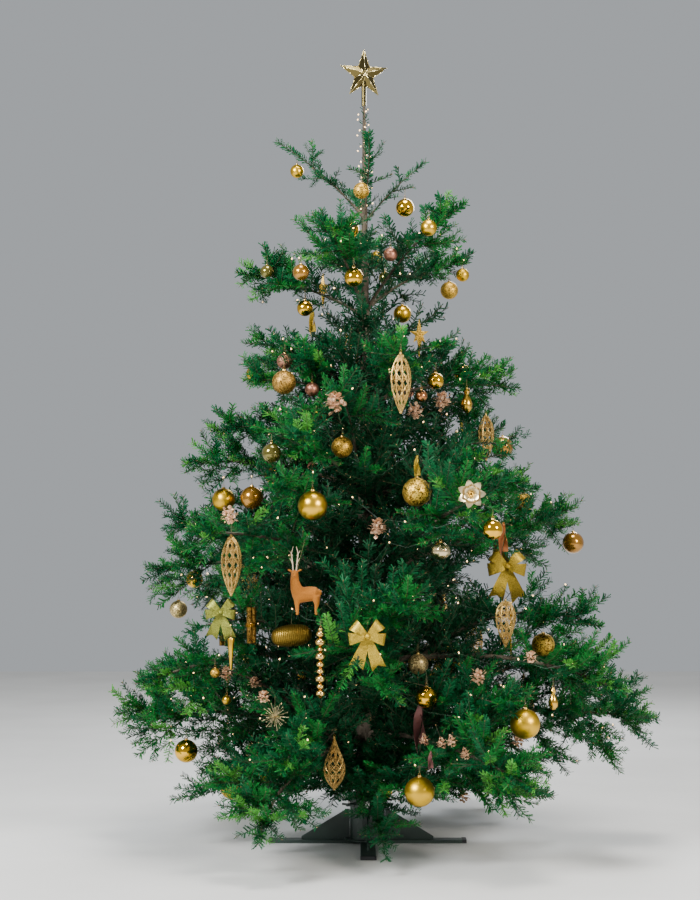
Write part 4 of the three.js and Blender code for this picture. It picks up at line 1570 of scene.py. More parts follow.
def quills(size, finish):
    """Three rolled sticks tied upright."""
    top = -STRING
    parts = [thread((0, 0, top))]
    for i in range(3):
        turn = 2 * math.pi * i / 3
        profile = [(0, -size), (0.07 * size, -size), (0.085 * size, -0.5 * size), (0.08 * size, 0), (0, 0)]
        at = (0.07 * size * math.cos(turn), 0.07 * size * math.sin(turn), top)
        parts.append(Part(*moved(lathe(profile, 12), at), finish))
    for depth in (0.46, 0.5, 0.54):
        ring = wire_ring((0, 0, top - size * depth), (0, 0, 1), 0.155 * size, 0.002, 20, 4)
        parts.append(Part(*ring, "polished_gold"))
    return parts


def deer(size, finish):
    """A small flocked deer that stands side on, its head raised to the front, with thin antlers."""
    foot = -STRING - size
    flesh = []
    parts = [thread((-0.13 * size, 0, foot + 0.6 * size))]

    def limb(points, radii, kept=flesh, made_of=finish, sides=12):
        line = np.array(points) * size + (0, 0, foot)
        kept.append(Part(*tube(line, np.array(radii) * size, sides), made_of))

    back = [(-0.17, 0.28), (-0.11, 0.28), (-0.02, 0.3), (0.08, 0.31), (0.15, 0.31), (0.2, 0.29)]
    limb([(x, 0, z) for x, z in back], [0.05, 0.115, 0.115, 0.11, 0.105, 0.05])
    limb([(-0.09, 0, 0.3), (-0.13, 0, 0.4), (-0.15, 0, 0.5), (-0.15, -0.01, 0.61), (-0.15, -0.01, 0.64)],
         [0.1, 0.086, 0.066, 0.056, 0.034])
    limb([(-0.15, 0.03, 0.615), (-0.15, -0.02, 0.61), (-0.155, -0.075, 0.585), (-0.158, -0.11, 0.57)],
         [0.03, 0.055, 0.036, 0.022])
    for side in (-1, 1):
        y = 0.045 * side
        limb([(-0.12, y, 0.28), (-0.115, y, 0.15), (-0.11, y, 0.03), (-0.115, y, 0)],
             [0.055, 0.034, 0.022, 0.024])
        limb([(0.16, y, 0.28), (0.175, 1.1 * y, 0.16), (0.16, y, 0.08), (0.165, y, 0)],
             [0.07, 0.038, 0.022, 0.024])
        ear = -0.15 + 0.035 * side
        limb([(ear, 0.01, 0.64), (ear + 0.05 * side, 0, 0.66), (ear + 0.085 * side, -0.005, 0.66)],
             [0.012, 0.02, 0.004])
        horn = -0.15 + 0.022 * side
        limb([(horn, 0, 0.64), (horn + 0.012 * side, 0, 0.78), (horn + 0.028 * side, 0, 0.9), (horn, 0, 1)],
             [0.01, 0.009, 0.008, 0.004], parts, "antler", 6)
        for height, out in ((0.76, 0.05), (0.87, 0.06)):
            limb([(horn + 0.012 * side, 0, height), (horn + out * side, -0.01, height + 0.07)],
                 [0.008, 0.003], parts, "antler", 6)
    limb([(0.19, 0, 0.36), (0.23, 0, 0.35), (0.245, 0, 0.29)], [0.024, 0.02, 0.008])
    return [Part(*run_together(flesh, 0.0042), finish)] + parts


def run_together(parts, grain):
    """Skins that overlap, made into one soft skin."""
    rough = mesh_object("rough_figure", *joined(parts))
    remesh = rough.modifiers.new("one_skin", "REMESH")
    remesh.mode = "VOXEL"
    remesh.voxel_size = grain
    soften = rough.modifiers.new("soften", "SMOOTH")
    soften.iterations = 5
    mesh = evaluated(rough)
    made = [tuple(v.co) for v in mesh.vertices], [tuple(p.vertices) for p in mesh.polygons]
    bpy.data.meshes.remove(mesh)
    drop(rough)
    return made


def joined(parts):
    """Vertices and faces of many parts as one."""
    vertices = []
    faces = []
    start = 0
    for part in parts:
        vertices.append(np.array(part.vertices, float))
        faces += [tuple(start + i for i in face) for face in part.faces]
        start += len(part.vertices)
    return np.concatenate(vertices), faces


def plain(name, colour, roughness):
    return Finish(name, Roughness=roughness).colour(colour).material


def plain_metal(name, colour, roughness):
    return Finish(name, Metallic=1.0, Roughness=roughness).colour(colour).material


def glitter(name, dark, bright, grain, depth):
    """Flakes that each catch the light in their own way."""
    f = Finish(name, Metallic=1.0)
    flake = f.grey(f.cells(grain, "Color"))
    f.colour(f.ramp(flake, (0.15, dark), (0.55, bright), (0.92, tuple(min(1, 1.35 * c) for c in bright))))
    f.rough(0.28 + 0.3 * flake)
    return f.relief(flake, depth).material


def satin(name, colour, roughness):
    """Metal lacquer with a faint drift of cloud in its gloss."""
    f = Finish(name, Metallic=1.0).colour(colour)
    return f.rough(roughness + 0.12 * f.noise(30, 2)).material


def lacquer(name, colour, metallic, roughness):
    f = Finish(name, Metallic=metallic, Roughness=roughness, Coat_Weight=0.8, Coat_Roughness=0.05)
    return f.colour(colour).material


def cloth(name, colour):
    """Metallic ribbon with a close weave."""
    f = Finish(name, Metallic=0.75).colour(colour)
    weave = f.noise(900, 1, (1, 1, 0.3))
    return f.rough(0.32 + 0.2 * weave).relief(weave, 0.0003).material


def flock(name):
    """Short orange-brown pile."""
    f = Finish(name, Metallic=0.0, Roughness=0.9, Sheen_Weight=0.15, Sheen_Roughness=0.4)
    pile = f.noise(600, 2)
    f.colour(f.ramp(pile, (0.3, (0.34, 0.105, 0.006)), (0.7, (0.58, 0.2, 0.014))))
    return f.relief(pile, 0.0008).material


ORNAMENT_FINISHES = {
    "thread": (plain, (0.3, 0.24, 0.12), 0.6),
    "cap_gold": (plain_metal, (0.75, 0.48, 0.13), 0.28),
    "chrome_gold": (plain_metal, (0.9, 0.5, 0.035), 0.09),
    "polished_gold": (plain_metal, (0.74, 0.44, 0.06), 0.2),
    "pale_gold": (glitter, (0.3, 0.18, 0.045), (0.62, 0.42, 0.14), 420, 0.0006),
    "silver_gold": (satin, (0.72, 0.6, 0.36), 0.24),
    "champagne": (satin, (0.72, 0.47, 0.15), 0.18),
    "satin_gold": (satin, (0.8, 0.47, 0.03), 0.24),
    "matt_gold": (satin, (0.72, 0.43, 0.025), 0.32),
    "wound_gold": (satin, (0.34, 0.22, 0.035), 0.4),
    "white_gold": (satin, (0.78, 0.62, 0.34), 0.16),
    "copper": (plain_metal, (0.55, 0.22, 0.08), 0.25),
    "rose_matt": (satin, (0.5, 0.22, 0.14), 0.38),
    "amber_gold": (lacquer, (0.42, 0.19, 0.012), 0.8, 0.2),
    "green_glass": (lacquer, (0.18, 0.15, 0.02), 0.75, 0.15),
    "glitter_gold": (glitter, (0.2, 0.1, 0.008), (0.75, 0.46, 0.07), 380, 0.0012),
    "rough_glitter": (glitter, (0.12, 0.055, 0.004), (0.85, 0.52, 0.08), 230, 0.004),
    "bark_brown": (glitter, (0.05, 0.025, 0.005), (0.26, 0.145, 0.03), 300, 0.001),
    "brown_glitter": (glitter, (0.09, 0.04, 0.006), (0.45, 0.26, 0.06), 380, 0.0012),
    "champagne_glitter": (glitter, (0.2, 0.13, 0.045), (0.7, 0.54, 0.24), 300, 0.002),
    "rose_sequins": (glitter, (0.4, 0.19, 0.1), (0.85, 0.54, 0.35), 500, 0.001),
    "bow_gold": (glitter, (0.22, 0.15, 0.015), (0.46, 0.32, 0.04), 800, 0.0006),
    "bow_olive": (glitter, (0.12, 0.125, 0.02), (0.28, 0.29, 0.06), 800, 0.0006),
    "copper_ribbon": (cloth, (0.3, 0.1, 0.03)),
    "mauve_ribbon": (cloth, (0.17, 0.07, 0.065)),
    "flock": (flock,),
    "antler": (plain, (0.62, 0.48, 0.33), 0.5),
}

# What hangs on the front: the kind, its real size, its finish and where its middle is seen,
# in metres right of the trunk and above the floor, in the plane through the trunk
Hung = namedtuple("Hung", "kind size finish across height")
SEEN = [
    Hung(ball, 0.06, "satin_gold", -0.33, 2.93),
    Hung(ball, 0.07, "glitter_gold", 0.00, 2.88),
    Hung(ball, 0.04, "rose_matt", -0.04, 2.81),
    Hung(ball, 0.08, "chrome_gold", 0.17, 2.75),
    Hung(ball, 0.07, "satin_gold", 0.22, 2.78),
    Hung(ball, 0.07, "amber_gold", -0.30, 2.52),
    Hung(ball, 0.08, "chrome_gold", -0.06, 2.48),
    Hung(ball, 0.06, "green_glass", -0.48, 2.49),
    Hung(ball, 0.06, "rose_matt", 0.08, 2.57),
    Hung(ball, 0.06, "matt_gold", 0.43, 2.48),
    Hung(ball, 0.08, "glitter_gold", 0.35, 2.41),
    Hung(ball, 0.07, "chrome_gold", -0.27, 2.35),
    Hung(ball, 0.08, "satin_gold", 0.14, 2.32),
    Hung(ball, 0.07, "rose_matt", -0.36, 2.10),
    Hung(ball, 0.10, "brown_glitter", -0.37, 2.00),
    Hung(ball, 0.06, "rose_matt", -0.25, 1.98),
    Hung(ball, 0.07, "chrome_gold", 0.29, 2.01),
    Hung(ball, 0.05, "copper", 0.24, 1.96),
    Hung(ball, 0.08, "green_glass", -0.42, 1.70),
    Hung(ball, 0.09, "glitter_gold", -0.10, 1.72),
    Hung(ball, 0.10, "matt_gold", -0.63, 1.51),
    Hung(ball, 0.10, "amber_gold", -0.50, 1.50),
    Hung(ball, 0.12, "satin_gold", -0.23, 1.47),
    Hung(ball, 0.12, "rough_glitter", 0.21, 1.53),
    Hung(ribbed_ball, 0.08, "white_gold", 0.33, 1.27),
    Hung(ball, 0.08, "chrome_gold", 0.55, 1.36),
    Hung(ball, 0.08, "champagne_glitter", -0.82, 1.01),
    Hung(ball, 0.10, "chrome_gold", -0.79, 0.39),
    Hung(ball, 0.10, "rough_glitter", 0.78, 0.86),
    Hung(ball, 0.09, "champagne_glitter", 0.23, 0.79),
    Hung(ball, 0.09, "chrome_gold", 0.26, 0.62),
    Hung(ball, 0.12, "matt_gold", 0.72, 0.52),
    Hung(ball, 0.12, "matt_gold", 0.23, 0.20),
    Hung(ball, 0.04, "satin_gold", -0.62, 0.64),
    Hung(ball, 0.04, "glitter_gold", -0.68, 0.76),
    Hung(long_star, 0.18, "glitter_gold", 0.23, 2.21),
    Hung(openwork, 0.24, "pale_gold", 0.14, 2.00),
    Hung(openwork, 0.20, "pale_gold", 0.51, 1.76),
    Hung(openwork, 0.24, "pale_gold", -0.60, 1.19),
    Hung(top_heavy, 0.19, "pale_gold", 0.60, 0.95),
    Hung(teardrop, 0.21, "pale_gold", -0.14, 0.35),
    Hung(bow, 0.20, "bow_gold", 0.62, 1.14),
    Hung(bow, 0.17, "bow_gold", 0.01, 0.86),
    Hung(bow, 0.15, "bow_olive", -0.62, 0.98),
    Hung(cone, 0.13, "satin_gold", -0.59, 0.83),
    Hung(twisted_rod, 0.26, "polished_gold", 0.64, 0.90),
    Hung(bead_rod, 0.27, "champagne", -0.22, 0.78),
    Hung(barrel, 0.17, "wound_gold", -0.32, 0.91),
    Hung(quills, 0.15, "bark_brown", -0.50, 0.94),
    Hung(deer, 0.28, "flock", -0.28, 1.14),
    Hung(burst, 0.11, "silver_gold", -0.39, 0.56),
    Hung(drop_figure, 0.09, "polished_gold", 0.82, 0.62),
    Hung(drop_figure, 0.11, "polished_gold", 0.43, 1.93),
    Hung(streamer, 0.14, "copper_ribbon", 0.60, 1.31),
    Hung(streamer, 0.20, "mauve_ribbon", 0.23, 0.48),
    Hung(streamer, 0.08, "mauve_ribbon", 0.255, 0.36),
    Hung(streamer, 0.12, "bow_gold", -0.24, 2.25),
    Hung(streamer, 0.10, "bow_gold", 0.21, 1.64),
    Hung(cluster, 0.11, "rose_sequins", -0.14, 1.91),
    Hung(cluster, 0.09, "rose_sequins", 0.32, 1.92),
    Hung(cluster, 0.08, "rose_sequins", 0.22, 1.90),
    Hung(cluster, 0.09, "rose_sequins", 0.02, 1.36),
    Hung(flower, 0.12, "silver_gold", 0.46, 1.51),
    Hung(cluster, 0.08, "rose_sequins", -0.60, 1.41),
    Hung(cluster, 0.07, "rose_sequins", -0.60, 0.74),
    Hung(cluster, 0.06, "rose_sequins", -0.50, 0.69),
    Hung(cluster, 0.06, "rose_sequins", -0.46, 0.66),
    Hung(cluster, 0.07, "rose_sequins", 0.48, 0.72),
    Hung(cluster, 0.07, "rose_sequins", 0.66, 0.46),
    Hung(cluster, 0.06, "rose_sequins", 0.73, 0.80),
    Hung(cluster, 0.05, "rose_sequins", 0.26, 0.46),
    Hung(cluster, 0.05, "rose_sequins", 0.31, 0.43),
    Hung(cluster, 0.05, "rose_sequins", 0.37, 0.41),
    Hung(cluster, 0.05, "rose_sequins", 0.43, 0.39),
]
FURTHER = 80  # at most this many on the other sides, dealt out by a seeded rule
FURTHER_SEED = 41
FURTHER_TRIES = 9000
FURTHER_SPACING = 0.25
FURTHER_SAME_HEIGHT = 0.4  # how far from their height in front they may hang
OUTER_BAND = 0.08  # the half width of the band of twigs that an outer place is judged by
OUTER_LEAD = 0.12  # twigs that end this much further out count as before it
OUTER_SHARE = 0.06  # and at most this share of them may do so
LOWEST_EDGE = 0.04
ROOM_SHARE = 0.92  # of two ornaments' own widths and heights, the room between their middles
FURTHER_BEHIND = 0.3  # how far behind the trunk they start, as a share of their distance from it
SIGHT_STEPS = (0.03, 0.06, 0.1)  # how far from its seen place an ornament may hang, tried in turn
DEPTH_WORTH = 16  # metres nearer to the front that make up for a metre beside the seen place
CLEAR_ROOM = 0.008  # shoots keep this far from an ornament
CLEAR_IN_FRONT = 0.75  # and leave it open to view for this far before it
CLEAR_BESIDE = 0.017  # with this much room round its outline


def place_on(line, point):
    """How many of a line's points lie before this one on it."""
    along = np.linalg.norm(point - line.points[0]) / np.linalg.norm(line.points[-1] - line.points[0])
    return along * (len(line.points) - 1)


Placed = namedtuple("Placed", "hung parts hook turn middle half_width half_height")


class Dresser:
    """Hangs each ornament from a real twig and notes the room that it takes."""

    def __init__(self, grown):
        self.eye = np.array([CAMERA_X, -CAMERA_DISTANCE, CAMERA_HEIGHT])
        shoots = [s for g in grown for s in g.shoots]
        ends = np.array([s.points[-1] for s in shoots])
        roots = np.array([s.points[0] for s in shoots])
        twigs = [p for g in grown for s in g.twigs for p in s.points[3:-1]]
        near_ends = roots + 0.8 * (ends - roots)
        halfway = roots + 0.5 * (ends - roots)
        self.hooks = np.concatenate([near_ends, halfway, np.array(twigs)])
        self.bearers = [*shoots, *shoots] + [s for g in grown for s in g.twigs for _ in s.points[3:-1]]
        self.bearing = {}  # the lines that something hangs from, and how far along
        self.placed = []
        self.forms = {}

    def form(self, hung):
        """An ornament's parts with the size of its body, made once for each kind, size and finish."""
        key = (hung.kind, hung.size, hung.finish)
        if key not in self.forms:
            parts = hung.kind(hung.size, hung.finish)
            body = np.concatenate([np.array(p.vertices) for p in parts if p.finish not in FITTINGS])
            low, high = body.min(0), body.max(0)
            wide = max(abs(low[:2]).max(), abs(high[:2]).max())
            self.forms[key] = (parts, (low[2] + high[2]) / 2, wide, (high[2] - low[2]) / 2)
        return self.forms[key]

    def free(self, middles, half_width, half_height):
        """Which places are free of the ornaments already hung."""
        fits = middles[:, 2] - half_height > LOWEST_EDGE
        for other in self.placed:
            apart = middles - other.middle
            level = np.hypot(apart[:, 0], apart[:, 1]) < ROOM_SHARE * (half_width + other.half_width)
            fits &= ~(level & (abs(apart[:, 2]) < ROOM_SHARE * (half_height + other.half_height)))
        return fits

    def hang(self, hung, i, turn):
        hook = self.hooks[i]
        parts, middle, half_width, half_height = self.form(hung)
        self.placed.append(Placed(hung, parts, hook, turn, hook + UP * middle, half_width, half_height))
        bearer = self.bearers[i]
        while bearer:
            needed = math.ceil(place_on(bearer, hook))
            self.bearing[id(bearer)] = max(self.bearing.get(id(bearer), 0), needed)
            hook = bearer.points[0]
            bearer = bearer.bearer

    def hang_seen(self, hung):
        """Hangs it from the foremost twig that puts its middle where the photograph shows it."""
        _, middle, half_width, half_height = self.form(hung)
        middles = self.hooks + UP * middle
        sight = unit(np.array([hung.across, 0, hung.height]) - self.eye)
        off = np.linalg.norm(np.cross(middles - self.eye, sight), axis=1)
        free = self.free(middles, half_width, half_height)
        for limit in SIGHT_STEPS:
            chosen = np.flatnonzero(free & (off < limit))
            if len(chosen):
                self.hang(hung, chosen[np.argmin(middles[chosen, 1] + DEPTH_WORTH * off[chosen])], 0)
                return

    def hang_further(self):
        """Deals out the same kinds over the other sides, each near the height at which the front has it."""
        draw = np.random.default_rng(FURTHER_SEED)
        heights = np.array([hung.height for hung in SEEN])
        out = np.hypot(self.hooks[:, 0], self.hooks[:, 1])
        away = np.flatnonzero(self.hooks[:, 1] > FURTHER_BEHIND * out)
        for i in draw.permutation(away)[:FURTHER_TRIES]:
            hook = self.hooks[i]
            if len(self.placed) >= len(SEEN) + FURTHER:
                break
            near = [np.linalg.norm(hook - other.hook) for other in self.placed]
            if min(near) < FURTHER_SPACING or not self.outermost(hook):
                continue
            same = np.flatnonzero(abs(heights - hook[2]) < FURTHER_SAME_HEIGHT)
            if not len(same):
                continue
            hung = SEEN[draw.choice(same)]
            _, middle, half_width, half_height = self.form(hung)
            if self.free(np.array([hook + UP * middle]), half_width, half_height)[0]:
                self.hang(hung, i, math.degrees(math.atan2(hook[1], hook[0])) + 90)

    def outermost(self, hook):
        """Whether little of the crown lies further out at this height and on this side."""
        radius = np.hypot(hook[0], hook[1])
        level = self.hooks[abs(self.hooks[:, 2] - hook[2]) < OUTER_BAND]
        side = level[:, :2] @ (hook[:2] / radius)
        aside = abs(level[:, 0] * hook[1] - level[:, 1] * hook[0]) / radius
        return (side[aside < OUTER_BAND] > radius + OUTER_LEAD).mean() < OUTER_SHARE

    def clears(self, points, opened=True):
        """Which points leave every ornament clear and, if wanted, the front ones open to the view."""
        keep = np.ones(len(points), bool)
        for other in self.placed:
            apart = points - other.middle
            reach = other.half_height - other.half_width
            apart[:, 2] -= np.clip(apart[:, 2], -max(reach, 0), max(reach, 0))
            keep &= np.linalg.norm(apart, axis=1) > min(other.half_width, other.half_height) + CLEAR_ROOM
            if opened and other.turn == 0:
                sight = unit(self.eye - other.middle)
                across = unit(np.cross(sight, UP))
                upright = np.cross(across, sight)
                ahead = (points - other.middle) @ sight
                beside = (points - other.middle) @ across / (other.half_width + CLEAR_BESIDE)
                above = (points - other.middle) @ upright / (other.half_height + CLEAR_BESIDE)
                keep &= ~((beside**2 + above**2 < 1) & (ahead > 0) & (ahead < CLEAR_IN_FRONT))
        return keep

    def clear(self, growth):
        """Ends each spray where it would hide an ornament, and takes out the shoots that would."""
        lines = np.array([twig.points for twig in growth.twigs])
        steps = lines[:, 1:] - lines[:, :-1]
        clear = np.ones(steps.shape[:2], bool)
        for share in (0, 0.33, 0.67):
            clear &= self.clears((lines[:, :-1] + share * steps).reshape(-1, 3)).reshape(clear.shape)
        ends = {}
        twigs = []
        for twig, open_steps in zip(growth.twigs, clear):
            least = self.bearing.get(id(twig), 0)
            hidden = np.flatnonzero(~open_steps[least:])
            end = least + hidden[0] if len(hidden) else len(open_steps)
            ends[id(twig)] = end
            if end:
                twigs.append(cut(twig, slice(0, end + 1)))
        growth.twigs = twigs
        middles = np.array([s.points.mean(0) for s in growth.shoots])
        tips = np.array([s.points[-1] for s in growth.shoots])
        clear = self.clears(middles) & self.clears(tips)
        kept = []
        for shoot, free in zip(growth.shoots, clear):
            bearer = shoot.bearer
            borne = not bearer or place_on(bearer, shoot.points[0]) <= ends.get(id(bearer), -1)
            if borne and (free or id(shoot) in self.bearing):
                kept.append(shoot)
                ends[id(shoot)] = len(shoot.points)
        growth.shoots = kept

    def clear_coat(self, shoots, opened=True):
        """Cuts the needles' lines where they would pass through an ornament or, if wanted, hide one."""
        counts = [len(s.points) - 1 for s in shoots]
        middles = np.concatenate([(s.points[:-1] + s.points[1:]) / 2 for s in shoots])
        keeps = np.split(self.clears(middles, opened), np.cumsum(counts)[:-1])
        result = []
        for s, keep in zip(shoots, keeps):
            if keep.all():
                result.append(s)
                continue
            start = 0
            for i, kept in enumerate([*keep, False]):
                if kept:
                    continue
                if i > start:
                    result.append(cut(s, slice(start, i + 1)))
                start = i + 1
        return result

    def make(self):
        """Joins the ornaments into pieces, one for each kind and finish."""
        finishes = {name: make(name, *looks) for name, (make, *looks) in ORNAMENT_FINISHES.items()}
        groups = {}
        for one in self.placed:
            turn = about("Z", one.turn)
            for part in one.parts:
                kind = "hanging" if part.finish in FITTINGS else one.hung.kind.__name__
                shape = moved((part.vertices, part.faces), one.hook, turn)
                groups.setdefault((kind, part.finish), []).append(Part(*shape, part.finish))
        for (kind, finish), parts in groups.items():
            piece = mesh_object(f"{kind}_{finish}", *joined(parts))
            smooth(piece)
            piece.data.set_sharp_from_angle(angle=math.radians(42))
            finish_piece(piece, None, finishes[finish])


# The string of small lights, wound round the crown from foot to top
LIGHTS_PITCH = 0.19
LIGHTS_STEP = 0.115
LIGHTS_LOW_Z = 0.33
LIGHTS_HIGH_Z = 2.86
LIGHTS_DEPTH = 0.9  # of the crown's reach where they lie
LIGHTS_NEAR = 0.07  # how near to its own line the string finds a twig
LIGHTS_LEAST_REACH = 0.12
LIGHTS_LIFT = 0.006  # above the twig that bears the string
LIGHTS_CHOICES = 8  # twigs that each step chooses from
LIGHTS_SAG = 0.12  # of the wire between two bulbs, as a share of its length
LEADER_LIGHTS_STEP = 0.014
LEADER_LIGHTS_PITCH = 0.07
LEADER_LIGHTS_OUT = 0.016
LEADER_LIGHTS_WAVE = 0.02
BULB_LENGTH = 0.0085
WIRE_RADIUS = 0.0008
LAMP_STRENGTH = 5.0


def string_path(grown, dresser):
    """Points on the outer twigs that the string passes, turn by turn."""
    points = np.concatenate([s.points for g in grown for s in g.shoots])
    points = points[dresser.clears(points)]
    radius = np.hypot(points[:, 0], points[:, 1])
    turn = np.arctan2(points[:, 1], points[:, 0])
    path = []
    z = LIGHTS_LOW_Z
    angle = 0.0
    while z < LIGHTS_HIGH_Z:
        off = np.abs((turn - angle + math.pi) % (2 * math.pi) - math.pi) * radius
        near = np.flatnonzero(
            (abs(points[:, 2] - z) < LIGHTS_NEAR) & (off < LIGHTS_NEAR) & (radius > 0.05)
        )
        reach = LIGHTS_LEAST_REACH
        if len(near) > 3:
            reach = LIGHTS_DEPTH * np.percentile(radius[near], 96)
            best = points[near[np.argsort(abs(radius[near] - reach))[:LIGHTS_CHOICES]]]
            path.append(best[clearest(best, path[-1], dresser) if path else 0] + UP * LIGHTS_LIFT)
        step = LIGHTS_STEP / max(reach, LIGHTS_LEAST_REACH)
        angle += step
        z += LIGHTS_PITCH * step / (2 * math.pi)
    for z in np.arange(path[-1][2] + 0.02, LEADER_TOP_Z, LEADER_LIGHTS_STEP):
        turn = 2 * math.pi * z / LEADER_LIGHTS_PITCH
        out = LEADER_LIGHTS_OUT + LEADER_LIGHTS_WAVE * math.sin(41 * z) ** 2
        path.append(trunk_centre(z) + out * np.array([math.cos(turn), math.sin(turn), 0]))
    return np.array(path)


def clearest(ends, start, dresser):
    """Which of these ends the wire reaches with the fewest ornaments in its way."""
    shares = np.array([0.25, 0.5, 0.75])[:, None, None]
    between = start + (ends - start) * shares
    return int(np.argmax(dresser.clears(between.reshape(-1, 3)).reshape(3, -1).sum(0)))


def bulb_tree():
    """A bulb on each point of a line, turned at random."""
    t = Tree("bulbs", "Object", "Material", "Length", "Seed")
    tilt = t.add("ShaderNodeCombineXYZ", None, {0: t.random(-1.1, 1.1, 0), 1: t.random(-1.1, 1.1, 1)})
    t.place(t["Geometry"], tilt, t["Length"])
    return t


def string_lights(grown, dresser):
    path = string_path(grown, dresser)
    sagging = [path[0]]
    for start, end in zip(path[:-1], path[1:]):
        sagging.append((start + end) / 2 - UP * LIGHTS_SAG * np.linalg.norm(end - start))
        sagging.append(end)
    wire = mesh_object("light_wire", *tube(np.array(sagging), WIRE_RADIUS, 3))
    finish_piece(wire, None, plain("wire_sleeve", (0.01, 0.04, 0.015), 0.5))
    glow = Finish("lamp_glow", Roughness=0.3, Emission_Strength=LAMP_STRENGTH)
    glow.colour((1.0, 0.8, 0.5))
    glow.feed("Emission Color", (1.0, 0.6, 0.26, 1))
    profile = [(0, -0.1), (0.26, 0), (0.32, 0.35), (0.26, 0.7), (0, 1)]
    bulb = mesh_object("bulb", *lathe(profile, 6))
    base = mesh_object("bulb_places", path, edges=[(i, i + 1) for i in range(len(path) - 1)])
    bulbs = bulb_tree().grow(
        "light_bulbs", base, Object=bulb, Material=glow.material, Length=BULB_LENGTH, Seed=3,
    )
    smooth(bulbs)
    finish_piece(bulbs, None)
    drop(base, bulb)


# The star on the top, and the stand: the source's own solids with their edges eased and their small parts
STAR_CENTRE_Z = 3.378
STAR_RADIUS = 0.11
STAR_INNER_RADIUS = 0.043
STAR_HALF_DEPTH = 0.026
STAR_TURN = 12
# the radius of the rim tubes that paint a highlight along the star's edges
STAR_HIGHLIGHT_RIM = 0.0019
EASE = 0.0012  # the width of an eased edge
STAND_BAR_LENGTH = 0.86
STAND_BAR_WIDTH = 0.064
STAND_BAR_HEIGHT = 0.014
STAND_TUBE_RADIUS = 0.076
STAND_BOLT_HEIGHT = 0.16
END_CAP_LENGTH = 0.018
END_CAP_WALL = 0.0015
NUT_RADIUS = 0.0135
NUT_HEIGHT = 0.009
BEAD_RADIUS = 0.0032
BEAD_PLACES = (0.05, 0.075, 0.1, 0.13)  # out from the tube, along each bar's gusset


def eased(node, width):
    """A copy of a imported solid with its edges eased."""
    piece = linked(node + "_finished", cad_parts[node].data.copy())
    weld = piece.modifiers.new("weld", "WELD")
    weld.merge_threshold = 1e-5
    bevel = piece.modifiers.new("eased_edges", "BEVEL")
    bevel.width = width
    bevel.segments = 2
    bevel.limit_method = "ANGLE"
    bevel.angle_limit = math.radians(28)
    mesh = evaluated(piece)
    mesh.name = piece.name
    piece.modifiers.clear()
    piece.data = mesh
    return piece


def dress_star():
    """The star's facets, darkened as a painted reflection, with a paler rim along its outline and its ridges
    that is a painted highlight.
    """
    # the facets' dark gold is a painted dark reflection
    gold = plain_metal("star_gold", (0.13, 0.1, 0.034), 0.12)
    # the paler gold of the rims along the edges is a painted highlight
    highlight_rim_gold = plain_metal("star_rim", (0.6, 0.5, 0.24), 0.12)
    star = eased("top_star", EASE)
    finish_piece(star, "gold", gold, ["top_star"])
    centre = trunk_centre(STAR_CENTRE_Z)
    turn = about("Z", STAR_TURN)
    outline, _ = ridged_star(STAR_RADIUS, STAR_INNER_RADIUS, STAR_HALF_DEPTH)
    lines = []
    for i in range(10):
        lines.append((outline[i], outline[(i + 1) % 10]))
        for apex in outline[10:]:
            lines.append((apex, outline[i]))
    parts = []
    for start, end in lines:
        parts.append(Part(*moved(tube([start, (start + end) / 2, end], STAR_HIGHLIGHT_RIM, 6), centre, turn), "rim"))
    for corner in outline:
        parts.append(Part(*moved(sphere(STAR_HIGHLIGHT_RIM, corner, 8), centre, turn), "rim"))
    rims = mesh_object("star_rims", *joined(parts))
    smooth(rims)
    finish_piece(rims, "gold", highlight_rim_gold)


def dress_stand():
    """Powder-coated steel with plastic caps on the bars' ends, weld beads and nuts under the screws."""
    coat = powder_coat()
    for node in ("stand_cross", "stand_socket"):
        finish_piece(eased(node, EASE), "stand", coat, [node])
    cap_parts = []
    bead_parts = []
    nut_parts = []
    for i in range(4):
        turn = about("Z", 90 * i)
        end = STAND_BAR_LENGTH / 2
        half = STAND_BAR_WIDTH / 2
        rows = [(end - END_CAP_LENGTH, 1.0), (end - 0.002, 1.0), (end + 0.001, 0.9)]
        rings = []
        for x, share in rows:
            y = (half + END_CAP_WALL) * share
            high = STAND_BAR_HEIGHT + END_CAP_WALL * share
            rings.append(np.array([(x, -y, 0.0002), (x, y, 0.0002), (x, y, high), (x, -y, high)]))
        cap_parts.append(Part(*moved(skin(rings), (0, 0, 0), turn), "cap"))
        height = STAND_BAR_HEIGHT + STAND_BOLT_HEIGHT
        nut = lathe([(0, 0), (NUT_RADIUS, 0), (NUT_RADIUS, NUT_HEIGHT), (0, NUT_HEIGHT)], 6)
        nut = moved(nut, (STAND_TUBE_RADIUS, 0, height), about("Y", 90))
        nut_parts.append(Part(*moved(nut, (0, 0, 0), turn), "nut"))
        for x in BEAD_PLACES:
            at = (STAND_TUBE_RADIUS + x, 0.005, STAND_BAR_HEIGHT + 0.001)
            bead_parts.append(Part(*moved(sphere(BEAD_RADIUS, at, 8, 5), (0, 0, 0), turn), "bead"))
    plastic = plain("black_plastic", (0.012, 0.012, 0.013), 0.55)
    zinc = plain_metal("zinc_plate", (0.5, 0.5, 0.48), 0.35)
    for name, parts, slot, finish in (
        ("stand_end_caps", cap_parts, None, plastic),
        ("stand_weld_beads", bead_parts, "stand", coat),
        ("stand_nuts", nut_parts, None, zinc),
    ):
        finish_piece(mesh_object(name, *joined(parts)), slot, finish)


# The photograph's view: the tree's axis stands right of the middle, and the camera looks up a little
CAMERA_DISTANCE = 8.0
CAMERA_HEIGHT = 1.4
CAMERA_X = -0.076
CAMERA_LENS = 72.8
CAMERA_RISE = 2.23
SENSOR = 36


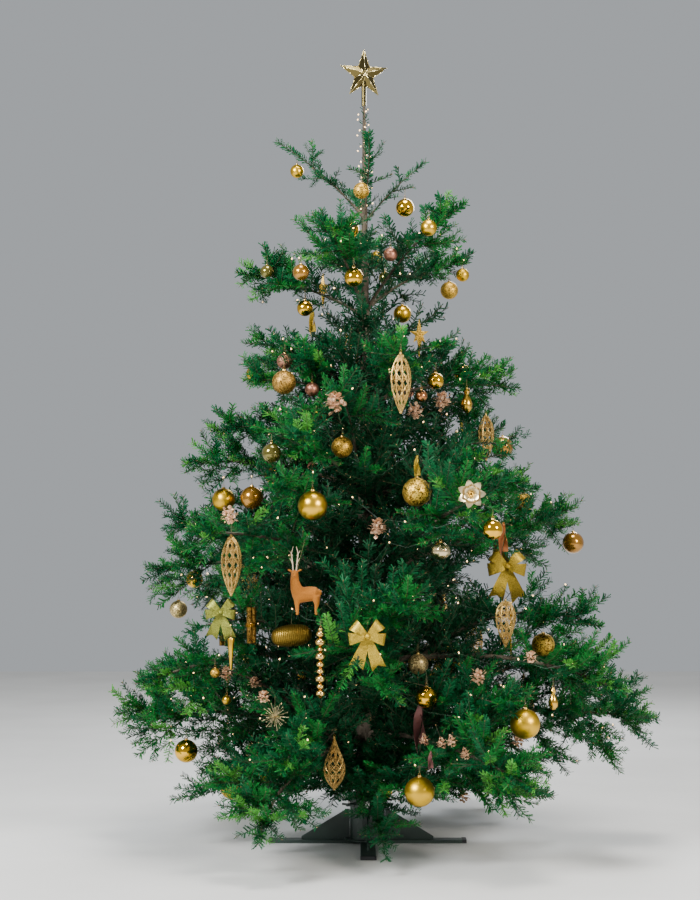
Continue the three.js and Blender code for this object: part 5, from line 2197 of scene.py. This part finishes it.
def place_camera():
    data = bpy.data.cameras.new("camera")
    data.lens = CAMERA_LENS
    data.sensor_width = SENSOR
    camera = linked("camera", data)
    camera.location = (CAMERA_X, -CAMERA_DISTANCE, CAMERA_HEIGHT)
    camera.rotation_euler = (math.radians(90 + CAMERA_RISE), 0, 0)
    bpy.context.scene.camera = camera


def add_light(name, place, aim, size, power, colour):
    data = bpy.data.lights.new(name, "AREA")
    data.shape = "DISK"
    data.size = size
    data.energy = power
    data.color = colour
    light = linked(name, data)
    light.location = place
    light.rotation_euler = (Vector(aim) - Vector(place)).to_track_quat("-Z", "Y").to_euler()


def floor_finish():
    f = Finish("pale_floor", Metallic=0.0)
    f.colour(f.ramp(f.noise(1.5, 3), (0.3, (0.60, 0.59, 0.57)), (0.7, (0.66, 0.65, 0.63))))
    f.rough(0.6 + 0.1 * f.noise(20, 2))
    return f.material


def dress_stage():
    floor = mesh_object("floor", [(-9, -9, 0), (9, -9, 0), (9, 9, 0), (-9, 9, 0)], [(0, 1, 2, 3)])
    floor.data.materials.append(floor_finish())
    world = bpy.data.worlds.new("studio")
    world.use_nodes = True
    background = world.node_tree.nodes["Background"]
    background.inputs["Color"].default_value = (0.72, 0.76, 0.8, 1)
    background.inputs["Strength"].default_value = 0.55
    bpy.context.scene.world = world
    add_light("window", (-4.2, -4.6, 4.6), (0, 0, 1.5), 2.4, 900, (0.95, 0.98, 1.0))
    add_light("hall", (4.5, -5.0, 3.6), (0, 0, 1.4), 2.0, 450, (1.0, 0.95, 0.88))
    add_light("ceiling", (0.3, -1.2, 7.0), (0, 0, 1.2), 2.5, 420, (1.0, 0.98, 0.94))
    add_light("back", (1.5, 5.0, 4.5), (0, 0, 1.8), 2.5, 240, (0.9, 0.95, 1.0))
    place_camera()


GROWN = grow_plant()
DRESSER = Dresser(GROWN)
for hung in sorted(SEEN, key=lambda one: -one.size):
    DRESSER.hang_seen(hung)
DRESSER.hang_further()
for growth in GROWN:
    DRESSER.clear(growth)
    growth.coat_twigs()
dress_plant(GROWN, DRESSER)
DRESSER.make()
string_lights(GROWN, DRESSER)
dress_star()
dress_stand()
dress_stage()
